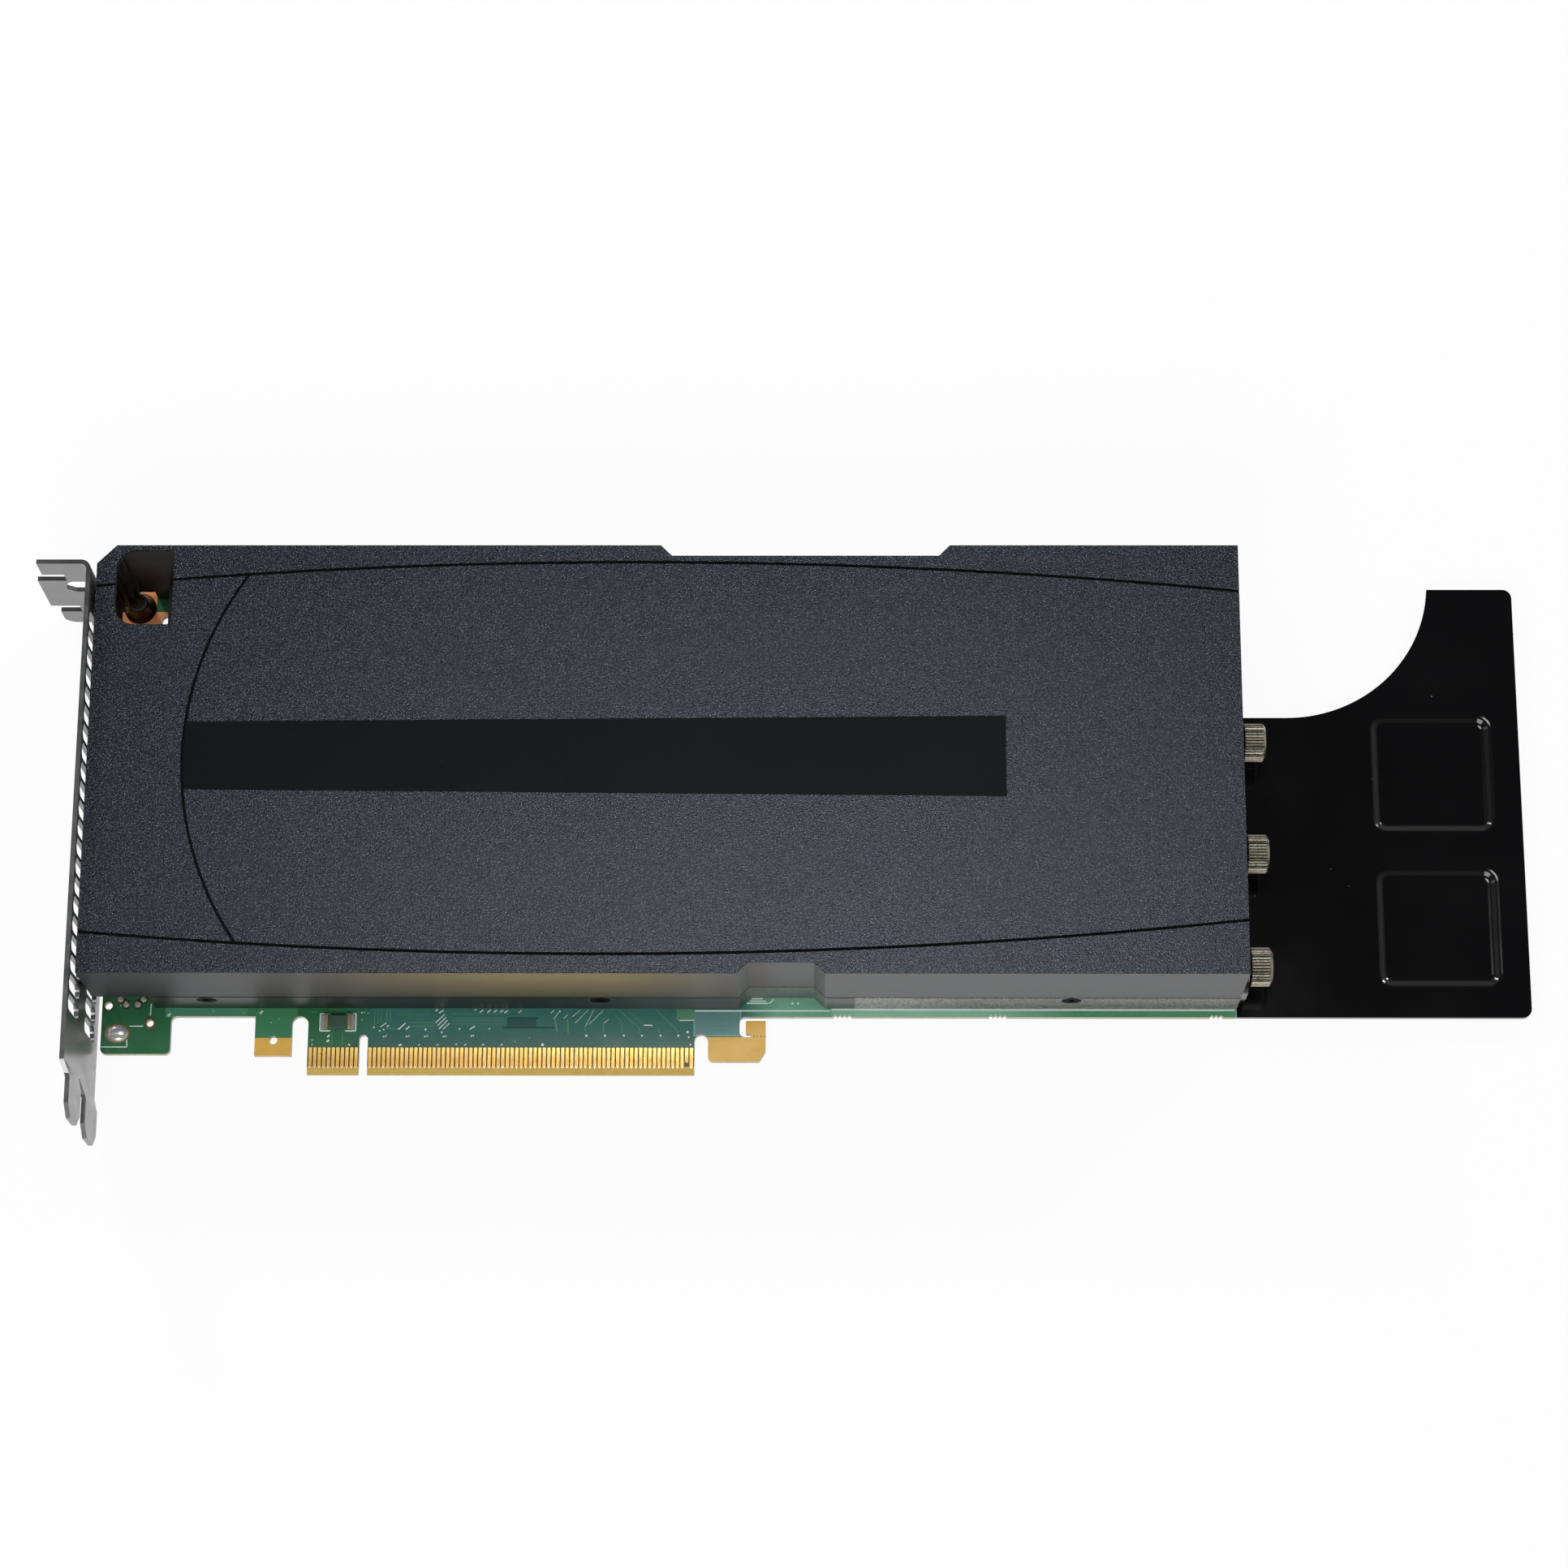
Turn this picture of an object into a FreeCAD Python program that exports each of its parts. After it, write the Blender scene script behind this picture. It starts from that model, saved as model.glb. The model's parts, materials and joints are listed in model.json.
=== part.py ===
"""Passive double-width accelerator card, full height and full length.

The card lies on its back: +X runs from the bracket to the card-guide extender, +Y away from the edge
contacts and +Z from the board's component side to the cover. The origin is the edge connector's datum:
the middle of the key notch, on the contact edge, in the board's component surface. Millimetres.
"""
import FreeCAD, Part
import math
import os
from types import SimpleNamespace

import Sketcher

SIZES = {
    # circuit board
    "board_thickness": 1.57,
    "board_length": 247.6,
    "board_height": 111.15,
    "board_lead": 57.4,  # left end of the board to the key notch
    "board_edge": 12.95,  # contact edge to the long lower edge
    "board_corner": 1.2,
    "contact_pitch": 1.0,
    "contact_width": 0.7,
    "contact_low": 1.7,
    "contact_high": 6.0,
    "contact_plate": 0.05,
    "contact_short": 1.0,  # the presence contact ends this much higher
    "first_contact": 1.5,  # key notch to the nearest contact on either side
    "tab_margin": 0.65,
    "key_width": 1.9,
    "key_depth": 8.85,
    "bevel_height": 1.3,
    "bevel_depth": 0.4,
    "foot_width": 15.2,
    "foot_low": 4.5,
    "small_tab_width": 8.05,
    "small_tab_low": 4.2,
    "small_tab_slot": 3.55,
    "small_tab_hole": 1.8,
    "small_tab_hole_rise": 3.4,
    "foot_hole_radius": 0.8,
    "foot_hole_inset": 4.6,
    "foot_hole_rise": 6.9,
    "small_hole_radius": 0.87,
    "small_hole_inset": 1.4,
    "small_hole_rise": 10.8,
    "window_hole_radius": 1.2,
    "window_hole_inset": 10.1,
    "window_hole_drop": 6.9,
    "corner_hole_inset": 4.0,
    "hook_slot": 2.95,
    "hook_slot_top": 9.0,
    "hook_width": 12.55,
    "hook_low": 3.0,
    "hook_bevel": 1.35,
    "hook_bevel_height": 2.4,
    "hook_finger_width": 4.35,
    "hook_finger_top": 12.05,
    "hook_gap": 1.35,
    "hook_gap_low": 8.4,
    "hook_undercut": 1.2,
    "hook_undercut_height": 0.7,
    "bite_radius": 0.42,
    "bite_pitch": 1.0,
    "first_bites": 104.35,
    "second_bites": 138.25,
    "last_bites_inset": 4.3,  # from the board's right end
    "screw_hole_radius": 1.6,
    # bracket
    "bracket_gap": 0.5,  # cover's left end to the bracket
    "sheet": 1.0,
    "bracket_width": 38.5,
    "flange_drop": 6.25,  # board's far edge to the flange's lower face
    "flange_depth": 10.9,
    "flange_ear": 1.6,
    "fold_radius": 1.2,
    "screw_slot_width": 3.8,
    "screw_slot_depth": 4.8,
    "slot_pitch": 20.32,  # distance between neighbouring card slots
    "first_slot": 6.6,  # height of the lower screw slot above the board
    "relief_length": 6.4,
    "relief_offset": 4.4,  # from midway between the two slots
    "relief_corner": 1.6,
    "relief_depth": 6.8,
    "vent_length": 12.6,
    "vent_height": 3.4,
    "vent_pitch": 4.26,
    "vent_low": 7.95,
    "vent_offset": 1.35,  # vent column centre beyond its screw slot
    "joggle_high": -5.0,
    "joggle_low": -8.4,
    "joggle_shift": 1.1,
    "tongue_tip": -16.5,
    "tongue_width": 14.2,
    "tongue_taper": 3.4,
    "tongue_taper_height": 2.6,
    "bracket_tab_length": 14.0,
    "bracket_tab_width": 11.0,
    "bracket_tab_low": 11.05,  # long lower edge to the lower tab
    "bracket_tab_high": 19.15,  # board's far edge to the upper tab
    "bracket_tab_hole": 9.5,  # bracket's inner face to the tab screw
    # cover
    "cover_overhang": 0.6,  # beyond the board's left end
    "cover_beyond": 0.1,  # beyond the board's right end
    "cover_front_inset": 1.85,  # from the board's long lower edge
    "cover_back_inset": 0.35,  # from the board's far edge
    "cover_top": 31.5,
    "cover_skin": 1.5,
    "cover_wall": 1.2,
    "corner_cut": 4.2,
    "corner_wall": 7.6,
    "skirt_clearance": 0.2,
    "rib_inset": 4.9,
    "rib_step": 0.95,
    "rib_rise": 1.25,
    "rib_length": 1.2,
    "rib_thickness": 0.6,
    "front_recess_start": 81.8,
    "front_recess_length": 18.8,
    "back_recess_start": 64.8,
    "back_recess_length": 62.9,
    "recess_depth": 2.4,
    "window_length": 12.5,
    "window_height": 17.0,
    "window_start": 4.3,
    "window_round": 4.4,
    "window_corner": 1.0,
    "groove_width": 0.65,
    "groove_depth": 0.3,
    "long_arc_radius": 1268.0,
    "back_arc_inset": 3.9,
    "back_arc_middle": 60.0,
    "front_arc_inset": 4.1,
    "front_arc_middle": 52.0,
    "end_arc_radius": 72.7,
    "end_arc_inset": 20.5,
    "end_arc_reach": 41.2,  # from the middle of the width
    "band_end_inset": 50.9,
    "band_narrow": 15.3,
    "band_wide": 18.1,
    "band_film": 0.2,
    "tongue_thickness": 2.0,
    "tongue_length": 12.0,
    # base frame
    "frame_height": 10.1,
    "frame_wall": 2.5,
    "frame_start": 12.4,  # cover's left end to the frame
    "seam_height": 0.7,
    "seam_depth": 0.6,
    "floor_low": 2.6,
    "floor_thickness": 2.0,
    "boss_radius": 3.2,
    "pilot_radius": 1.25,
    "end_wall_height": 16.0,
    "thumb_boss_radius": 4.4,
    "thumb_boss_length": 8.0,
    "cover_screw_drop": 2.8,  # below the frame's top edge
    "cover_screw_inset": 12.1,
    "cover_screw_middle": 51.9,
    "cover_screw_end": 36.4,
    "cover_screw_radius": 1.25,
    "cover_screw_head": 2.2,
    "cover_screw_length": 5.0,
    "frame_screw_inset": 11.6,
    "frame_screw_end": 34.3,
    "frame_screw_side": 10.0,
    "end_screw_inset": 9.3,
    "end_screw_pitch": 30.0,
    "screw_head_radius": 2.7,
    "screw_head_height": 1.6,
    "screw_grip": 4.0,
    # cooler and processor
    "processor_x": 60.0,
    "package_side": 42.5,
    "package_height": 1.6,
    "die_side": 23.0,
    "die_height": 0.8,
    "paste_height": 0.1,
    "pedestal_side": 36.0,
    "cooler_low": 6.0,
    "cooler_base": 3.0,
    "outlet_length": 20.0,  # cover's left end to the cooler
    "inlet_length": 28.3,  # cooler to the cover's right end
    "cooler_margin": 2.7,
    "fin_thickness": 0.4,
    "fin_pitch": 2.3,
    "fin_clearance": 0.25,
    "post_offset": 25.2,
    "post_radius": 2.4,
    "retention_sheet": 0.8,
    "retention_arm": 6.4,
    "memory_length": 12.0,
    "memory_width": 14.0,
    "memory_height": 1.2,
    "memory_offset": 35.0,
    "memory_pitch": 17.0,
    "memory_outer_offset": 48.5,
    "stage_inset": 53.5,  # from the cover's right end, as the next three
    "inductor_inset": 44.0,
    "capacitor_inset": 34.5,
    "chip_inset": 26.5,
    "stage_height": 1.0,
    "supply_pitch": 14.0,
    "chip_pitch": 16.0,
    "inductor_side": 10.0,
    "inductor_height": 4.0,
    "capacitor_radius": 3.15,
    "capacitor_height": 5.7,
    "chip_side": 7.0,
    "chip_height": 0.9,
    # small parts by the contacts and in the board's corner
    "corner_post_radius": 3.6,
    "corner_post_height": 4.4,
    "corner_post_socket": 1.5,
    "corner_post_floor": 2.0,
    "blob_x": 3.6,
    "blob_y": 4.6,
    "blob_length": 4.9,
    "blob_width": 3.8,
    "blob_height": 0.9,
    "tail_middle": 6.5,
    "tail_low_row": 11.1,
    "tail_high_row": 12.3,
    "tail_low_half_pitch": 1.25,
    "tail_high_half_pitch": 2.55,
    "shunt_length": 7.8,
    "shunt_width": 4.0,
    "shunt_height": 0.9,
    "shunt_cap": 1.3,
    "shunt_x": -5.7,
    "shunt_y": 11.6,
    # power connector
    "connector_length": 22.0,
    "connector_width": 18.8,
    "connector_height": 10.8,
    "connector_back": 2.6,
    "latch_inset": 7.0,
    "latch_length": 5.0,
    "latch_width": 3.2,
    "latch_height": 1.6,
    "pin_pitch": 4.2,
    "cavity_side": 3.3,
    "cavity_depth": 14.0,
    "pin_side": 0.9,
    # card-guide extender
    "extender_length": 64.3,
    "extender_sheet": 1.2,
    "extender_step": 4.3,  # upright's far end to the cut-away
    "extender_beyond": 0.6,  # beyond the board's far edge
    "arc_radius": 32.5,
    "arc_start": 12.9,
    "extender_corner": 2.0,
    "upright_height": 16.0,
    "upright_margin": 4.7,
    "panel_side": 27.3,
    "panel_end_margin": 5.9,
    "panel_front_margin": 6.65,
    "panel_gap": 8.0,
    "panel_depth": 1.0,
    "panel_slope": 2.3,
    "panel_corner": 3.3,
    "thumb_pitch": 25.4,
    "thumb_inset": 6.9,
    "thumb_height": 10.0,
    "thumb_head_radius": 4.2,
    "thumb_head_length": 5.0,
    "knurl_depth": 0.28,
    "thumb_chamfer": 0.6,
    "thumb_shank_radius": 1.6,
    "thumb_shank_length": 9.0,
    "thumb_clearance": 0.3,
    "washer_thickness": 0.6,
    "washer_radius": 3.6,
}

CONTACTS_BEFORE_KEY = 11
CONTACTS_AFTER_KEY = 71
VENT_ROWS = 21
KNURL_TEETH = 38
BITE_COUNTS = (4, 4, 3)
FOUR_ROWS = (-1.5, -0.5, 0.5, 1.5)
CHIP_ROWS = (-1, 0, 1)
PANEL_STEPS = 6

doc = FreeCAD.newDocument("accelerator_card")
sheet = doc.addObject("Spreadsheet::Sheet", "Sizes")
for row, (alias, number) in enumerate(SIZES.items(), start=1):
    sheet.set(f"A{row}", alias)
    sheet.set(f"B{row}", str(number))
    sheet.setAlias(f"B{row}", alias)
doc.recompute()

Vector = FreeCAD.Vector
nodes = []


class Size:
    """A length as a number, with the expression that binds a property to the sheet."""

    def __init__(self, value, text):
        self.value = value
        self.text = text

    def __add__(self, other):
        other = as_size(other)
        return Size(self.value + other.value, f"({self.text} + {other.text})")

    def __sub__(self, other):
        other = as_size(other)
        return Size(self.value - other.value, f"({self.text} - {other.text})")

    def __mul__(self, factor):
        factor = as_size(factor)
        return Size(self.value * factor.value, f"({self.text} * {factor.text})")

    def __truediv__(self, factor):
        factor = as_size(factor)
        return Size(self.value / factor.value, f"({self.text} / {factor.text})")

    def __neg__(self):
        return Size(-self.value, f"(-1 * {self.text})")

    def __radd__(self, other):
        return as_size(other) + self

    def __rsub__(self, other):
        return as_size(other) - self

    def __rmul__(self, other):
        return as_size(other) * self


def as_size(value):
    return value if isinstance(value, Size) else Size(float(value), repr(float(value)))


S = SimpleNamespace(**{alias: Size(float(sheet.get(alias)), f"Sizes.{alias}") for alias in SIZES})

# places that several pieces share
board_left = -S.board_lead
board_right = board_left + S.board_length
board_bottom = -S.board_thickness
cover_left = board_left - S.cover_overhang
cover_right = board_right + S.cover_beyond
cover_front = S.board_edge + S.cover_front_inset
cover_back = S.board_height - S.cover_back_inset
cover_inside = S.cover_top - S.cover_skin
middle_y = (cover_front + cover_back) / 2
bracket_inner = cover_left - S.bracket_gap
bracket_face = bracket_inner - S.sheet
bracket_bottom = board_bottom - S.sheet
flange_seat = S.board_height - S.flange_drop
tab_rows = [S.board_edge + S.bracket_tab_low, S.board_height - S.bracket_tab_high]
frame_left = cover_left + S.frame_start
frame_inner_front = cover_front + S.frame_wall
frame_inner_back = cover_back - S.frame_wall
floor_top = S.floor_low + S.floor_thickness
die_low = S.package_height
paste_low = die_low + S.die_height
pedestal_low = paste_low + S.paste_height
fins_low = S.cooler_low + S.cooler_base
cooler_front = frame_inner_front + S.cooler_margin
cooler_back = frame_inner_back - S.cooler_margin
cooler_start = cover_left + S.outlet_length
cooler_end = cover_right - S.inlet_length
rest_level = board_bottom - S.screw_head_height
connector_top = frame_inner_back - S.connector_back
connector_bottom = connector_top - S.connector_width
upright_outer = cover_right + S.extender_sheet
thumb_seat = upright_outer + S.washer_thickness
screw_height = S.frame_height - S.cover_screw_drop
end_arc_peak = cover_left + S.end_arc_inset
end_arc_centre = (end_arc_peak + S.end_arc_radius, middle_y)
cover_screw_columns = [frame_left + S.cover_screw_inset, S.cover_screw_middle,
                       cover_right - S.cover_screw_end]
thumb_rows = [cover_front + S.thumb_inset + index * S.thumb_pitch for index in range(3)]
upright_end = thumb_rows[-1] + S.upright_margin
supply_rows = [middle_y + row * S.supply_pitch for row in FOUR_ROWS]
chip_rows = [middle_y + row * S.chip_pitch for row in CHIP_ROWS]
inductor_x = cover_right - S.inductor_inset
capacitor_x = cover_right - S.capacitor_inset
long_tab_end = S.first_contact + (CONTACTS_AFTER_KEY - 1) * S.contact_pitch + S.tab_margin
short_tab_end = -(S.first_contact + (CONTACTS_BEFORE_KEY - 1) * S.contact_pitch + S.tab_margin)

TURNS = {
    "x": FreeCAD.Rotation(Vector(0, 1, 0), 90),
    "y": FreeCAD.Rotation(Vector(1, 0, 0), -90),
    "z": FreeCAD.Rotation(),
}


def bind(thing, path, size):
    """Bind a property to the sheet."""
    thing.setExpression(path, as_size(size).text)


def place(thing, at, axis="z"):
    thing.Placement = FreeCAD.Placement(Vector(*(as_size(part).value for part in at)), TURNS[axis])
    for letter, part in zip("xyz", at):
        if isinstance(part, Size):
            bind(thing, f".Placement.Base.{letter}", part)
    return thing


def box(name, low, sides):
    thing = doc.addObject("Part::Box", name)
    for path, side in zip(("Length", "Width", "Height"), sides):
        bind(thing, path, side)
    return place(thing, low)


def centred_box(name, centre, low, sides):
    """A box centred on a point of the board, from the height `low` up."""
    return box(name, (centre[0] - sides[0] / 2, centre[1] - sides[1] / 2, low), sides)


def cylinder(name, at, radius, height, axis="z"):
    thing = doc.addObject("Part::Cylinder", name)
    bind(thing, "Radius", radius)
    bind(thing, "Height", height)
    return place(thing, at, axis)


def cone(name, at, low_radius, high_radius, height, axis="z"):
    thing = doc.addObject("Part::Cone", name)
    bind(thing, "Radius1", low_radius)
    bind(thing, "Radius2", high_radius)
    bind(thing, "Height", height)
    return place(thing, at, axis)


def fuse(name, things):
    thing = doc.addObject("Part::MultiFuse", name)
    thing.Shapes = list(things)
    return thing


def common(name, base, tool):
    thing = doc.addObject("Part::Common", name)
    thing.Base = base
    thing.Tool = tool
    return thing


def compound(name, things):
    thing = doc.addObject("Part::Compound", name)
    thing.Links = list(things)
    return thing


def cut(name, base, tools):
    """Take the tools, which may overlap each other, out of the base."""
    thing = doc.addObject("Part::Cut", name)
    thing.Base = base
    thing.Tool = tools[0] if len(tools) == 1 else fuse(f"{name}_tools", tools)
    return thing


def node(label, thing):
    """Register a finished sub-part under the name of its file."""
    thing.Label = label
    nodes.append(thing)
    return thing


def group(label, things):
    """Identical or like pieces that stay separate solids of one node."""
    return node(label, compound(f"{label}_group", things))


# ---- sketches and bodies ------------------------------------------------------------------------

def origin_plane(body, role):
    return next(feature for feature in body.Origin.OriginFeatures if feature.Role == role)


def pin_point(sketch, geometry, position, point):
    """Hold both coordinates of a point at their sizes, or on the axis where one is nought."""
    constraints, texts = [], []
    for kind, axis, size in (("DistanceX", -2, point[0]), ("DistanceY", -1, point[1])):
        if not isinstance(size, Size) and size == 0:
            constraints.append(Sketcher.Constraint("PointOnObject", geometry, position, axis))
            texts.append(None)
        else:
            size = as_size(size)
            constraints.append(Sketcher.Constraint(kind, -1, 1, geometry, position, size.value))
            texts.append(size.text)
    return constraints, texts


def add_constraints(sketch, constraints, texts):
    """Add the constraints together, then bind those that have an expression."""
    for index, text in zip(sketch.addConstraint(constraints), texts):
        if text is not None:
            sketch.setExpression(f"Constraints[{index}]", text)


def new_sketch(body, name, role="XY_Plane", offset=0):
    sketch = body.newObject("Sketcher::SketchObject", name)
    sketch.AttachmentSupport = (origin_plane(body, role), [""])
    sketch.MapMode = "FlatFace"
    sketch.AttachmentOffset = FreeCAD.Placement(Vector(0, 0, as_size(offset).value), FreeCAD.Rotation())
    bind(sketch, ".AttachmentOffset.Base.z", offset)
    return sketch


def add_polygon(sketch, points):
    """Straight edges through the points, closed."""
    first = sketch.GeometryCount
    flat = [Vector(as_size(x).value, as_size(y).value, 0) for x, y in points]
    sketch.addGeometry([Part.LineSegment(start, end) for start, end in zip(flat, flat[1:] + flat[:1])])
    constraints, texts = [], []
    for index, point in enumerate(points):
        following = (index + 1) % len(points)
        constraints.append(Sketcher.Constraint("Coincident", first + index, 2, first + following, 1))
        texts.append(None)
        pins, pin_texts = pin_point(sketch, first + index, 1, point)
        constraints += pins
        texts += pin_texts
    add_constraints(sketch, constraints, texts)


def add_circle(sketch, centre, radius):
    centre_vector = Vector(as_size(centre[0]).value, as_size(centre[1]).value, 0)
    radius = as_size(radius)
    geometry = sketch.addGeometry(Part.Circle(centre_vector, Vector(0, 0, 1), radius.value))
    constraints, texts = pin_point(sketch, geometry, 3, centre)
    constraints.append(Sketcher.Constraint("Radius", geometry, radius.value))
    add_constraints(sketch, constraints, texts + [radius.text])


def add_slot(sketch, centre, length, height):
    """A slot with round ends, long in the sketch's second direction."""
    x, y = as_size(centre[0]), as_size(centre[1])
    half, radius = (length - height) / 2, height / 2
    top, bottom, left, right = range(sketch.GeometryCount, sketch.GeometryCount + 4)
    geometry = []
    for sign, turn in ((1, 0), (-1, math.pi)):
        circle = Part.Circle(Vector(x.value, y.value + sign * half.value, 0), Vector(0, 0, 1), radius.value)
        geometry.append(Part.ArcOfCircle(circle, turn, turn + math.pi))
    for sign in (-1, 1):
        low = Vector(x.value + sign * radius.value, y.value - half.value, 0)
        high = Vector(x.value + sign * radius.value, y.value + half.value, 0)
        geometry.append(Part.LineSegment(low, high))
    sketch.addGeometry(geometry)
    constraints = [Sketcher.Constraint("Tangent", *ends) for ends in (
        (top, 1, right, 2), (top, 2, left, 2), (bottom, 1, left, 1), (bottom, 2, right, 1))]
    texts = [None] * len(constraints)
    for arc, y_centre in ((top, y + half), (bottom, y - half)):
        pins, pin_texts = pin_point(sketch, arc, 3, (x, y_centre))
        constraints += pins
        texts += pin_texts
    constraints.append(Sketcher.Constraint("Radius", top, radius.value))
    add_constraints(sketch, constraints, texts + [radius.text])


def pad(body, name, sketch, length):
    feature = body.newObject("PartDesign::Pad", name)
    feature.Profile = sketch
    bind(feature, "Length", length)
    sketch.Visibility = False
    doc.recompute()
    return feature


def pocket(body, name, sketch, depth=None, upward=False):
    """Cut the sketch into the body, both ways through it where no depth is given."""
    before = body.Shape.Volume
    feature = body.newObject("PartDesign::Pocket", name)
    feature.Profile = sketch
    if depth is None:
        feature.Type = "ThroughAll"
        feature.SideType = "Symmetric"
    else:
        feature.Reversed = upward
        bind(feature, "Length", depth)
    doc.recompute()
    if not body.Shape.Volume < before:
        raise RuntimeError(f"{name} cuts nothing")
    return feature


def round_corners(body, name, radius, corners, axis=2):
    """Round the straight edges that run along `axis` through the given corners."""
    across = [index for index in range(3) if index != axis]
    wanted = [tuple(as_size(part).value for part in corner) for corner in corners]
    base = body.Tip
    names = []
    for number, edge in enumerate(base.Shape.Edges, start=1):
        if len(edge.Vertexes) != 2 or edge.Curve.TypeId != "Part::GeomLine":
            continue
        start, end = (vertex.Point for vertex in edge.Vertexes)
        along = all(abs(start[index] - end[index]) < 1e-6 for index in across)
        spot = tuple(start[index] for index in across)
        if along and any(math.dist(spot, corner) < 1e-3 for corner in wanted):
            names.append(f"Edge{number}")
    if len(names) < len(wanted):
        raise RuntimeError(f"{name} finds {len(names)} of {len(wanted)} corners")
    feature = body.newObject("PartDesign::Fillet", name)
    feature.Base = (base, names)
    bind(feature, "Radius", radius)
    doc.recompute()
    return feature


def plate(name, points, low, thickness, role="XY_Plane"):
    """A body that is one flat outline of even thickness."""
    body = doc.addObject("PartDesign::Body", name)
    sketch = new_sketch(body, f"{name}_outline", role, low)
    add_polygon(sketch, points)
    pad(body, f"{name}_pad", sketch, thickness)
    return body


# ---- circuit board ------------------------------------------------------------------------------

def board_screw_spots():
    """Centres of the screws that come up through the board into the frame and the cooler."""
    px, offset = S.processor_x, S.post_offset
    posts = [(px + offset * i, middle_y + offset * j) for i in (-1, 1) for j in (-1, 1)]
    rows = (cover_front + S.frame_screw_side, cover_back - S.frame_screw_side)
    columns = (frame_left + S.frame_screw_inset, px - 2 * offset, px + 2 * offset,
               cover_right - S.frame_screw_end)
    frame = [(x, y) for x in columns for y in rows]
    frame += [(cover_right - S.end_screw_inset, middle_y - step * S.end_screw_pitch) for step in (0, 1)]
    return frame, posts


def tab_screw_spots():
    x = bracket_inner + S.bracket_tab_hole
    return [(x, y) for y in tab_rows]


def corner_spot():
    """The board's mounting hole at its top left corner, as far from both edges."""
    return board_left + S.corner_hole_inset, S.board_height - S.corner_hole_inset


def make_circuit_board():
    foot_right = board_left + S.foot_width
    tab_right = short_tab_end - S.small_tab_slot
    tab_left = tab_right - S.small_tab_width
    hook_left = long_tab_end + S.hook_slot
    hook_right = hook_left + S.hook_width
    finger_left = hook_right - S.hook_finger_width
    gap_left = finger_left - S.hook_gap
    undercut_right = finger_left + S.hook_undercut
    undercut_top = S.hook_gap_low + S.hook_undercut_height
    edge = S.board_edge
    outline = [
        (board_left, S.foot_low), (foot_right, S.foot_low), (foot_right, edge), (tab_left, edge),
        (tab_left, S.small_tab_low), (tab_right, S.small_tab_low), (tab_right, edge), (short_tab_end, edge),
        (short_tab_end, 0), (long_tab_end, 0), (long_tab_end, S.hook_slot_top), (hook_left, S.hook_slot_top),
        (hook_left, S.hook_low), (hook_right - S.hook_bevel, S.hook_low),
        (hook_right, S.hook_low + S.hook_bevel_height), (hook_right, S.hook_finger_top),
        (finger_left, S.hook_finger_top), (finger_left, undercut_top), (undercut_right, undercut_top),
        (undercut_right, S.hook_gap_low), (gap_left, S.hook_gap_low), (gap_left, edge),
        (board_right, edge), (board_right, S.board_height), (board_left, S.board_height),
    ]
    board = plate("board_blank", outline, board_bottom, S.board_thickness)
    nearly_half = 0.49
    round_corners(board, "slot_rounds", S.small_tab_slot * nearly_half,
                  [(tab_right, edge), (short_tab_end, edge)])
    round_corners(board, "hook_slot_rounds", S.hook_slot * nearly_half,
                  [(long_tab_end, S.hook_slot_top), (hook_left, S.hook_slot_top)])
    round_corners(board, "undercut_rounds", S.hook_undercut_height * nearly_half,
                  [(undercut_right, undercut_top), (undercut_right, S.hook_gap_low),
                   (finger_left, undercut_top), (finger_left, S.hook_finger_top)])
    round_corners(board, "board_rounds", S.board_corner,
                  [(board_left, S.foot_low), (foot_right, S.foot_low), (foot_right, edge),
                   (board_left, S.board_height), (board_right, S.board_height),
                   (hook_left, S.hook_low), (gap_left, edge), (gap_left, S.hook_gap_low)])
    holes = new_sketch(board, "board_holes", offset=board_bottom)
    frame_spots, post_spots = board_screw_spots()
    for spot in frame_spots + post_spots + tab_screw_spots():
        add_circle(holes, spot, S.screw_hole_radius)
    add_circle(holes, corner_spot(), S.screw_hole_radius)
    add_circle(holes, (tab_left + S.small_tab_width / 2, S.small_tab_low + S.small_tab_hole_rise),
               S.small_tab_hole / 2)
    add_circle(holes, (foot_right - S.foot_hole_inset, S.foot_low + S.foot_hole_rise), S.foot_hole_radius)
    add_circle(holes, (board_left + S.small_hole_inset, S.foot_low + S.small_hole_rise), S.small_hole_radius)
    add_circle(holes, (board_left + S.window_hole_inset, S.board_height - S.window_hole_drop),
               S.window_hole_radius)
    for step in range(4):
        add_circle(holes, (undercut_right + 0.6 + step * 0.8, S.hook_gap_low + 0.2), 0.17)
    pocket(board, "board_hole_cuts", holes)
    bites = []
    middles = (S.first_bites, S.second_bites, board_right - S.last_bites_inset)
    for middle, count in zip(middles, BITE_COUNTS):
        for index in range(count):
            x = middle + (index - (count - 1) / 2) * S.bite_pitch
            bites.append(cylinder("bite", (x, edge, board_bottom), S.bite_radius, S.board_thickness))
    key = box("key_slot", (-S.key_width / 2, -1, board_bottom),
              (S.key_width, S.key_depth - S.key_width / 2 + 1, S.board_thickness))
    key_round = cylinder("key_round", (0, S.key_depth - S.key_width / 2, board_bottom),
                         S.key_width / 2, S.board_thickness)
    bevels = [bevel_wedge("front_bevel", 0, 1), bevel_wedge("back_bevel", board_bottom, -1)]
    node("circuit_board", cut("circuit_board_cut", board, bites + [key, key_round] + bevels))


def bevel_wedge(name, surface, side):
    """Wedge that bevels one face of the contact edge, from the full depth at the edge to nothing."""
    outside = 0.5
    points = [(0, surface - side * S.bevel_depth), (S.bevel_height, surface),
              (S.bevel_height, surface + side * outside), (-0.5, surface + side * outside),
              (-0.5, surface - side * S.bevel_depth)]
    start = short_tab_end - 1
    return plate(name, points, start, long_tab_end + 1 - start, "YZ_Plane")


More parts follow.
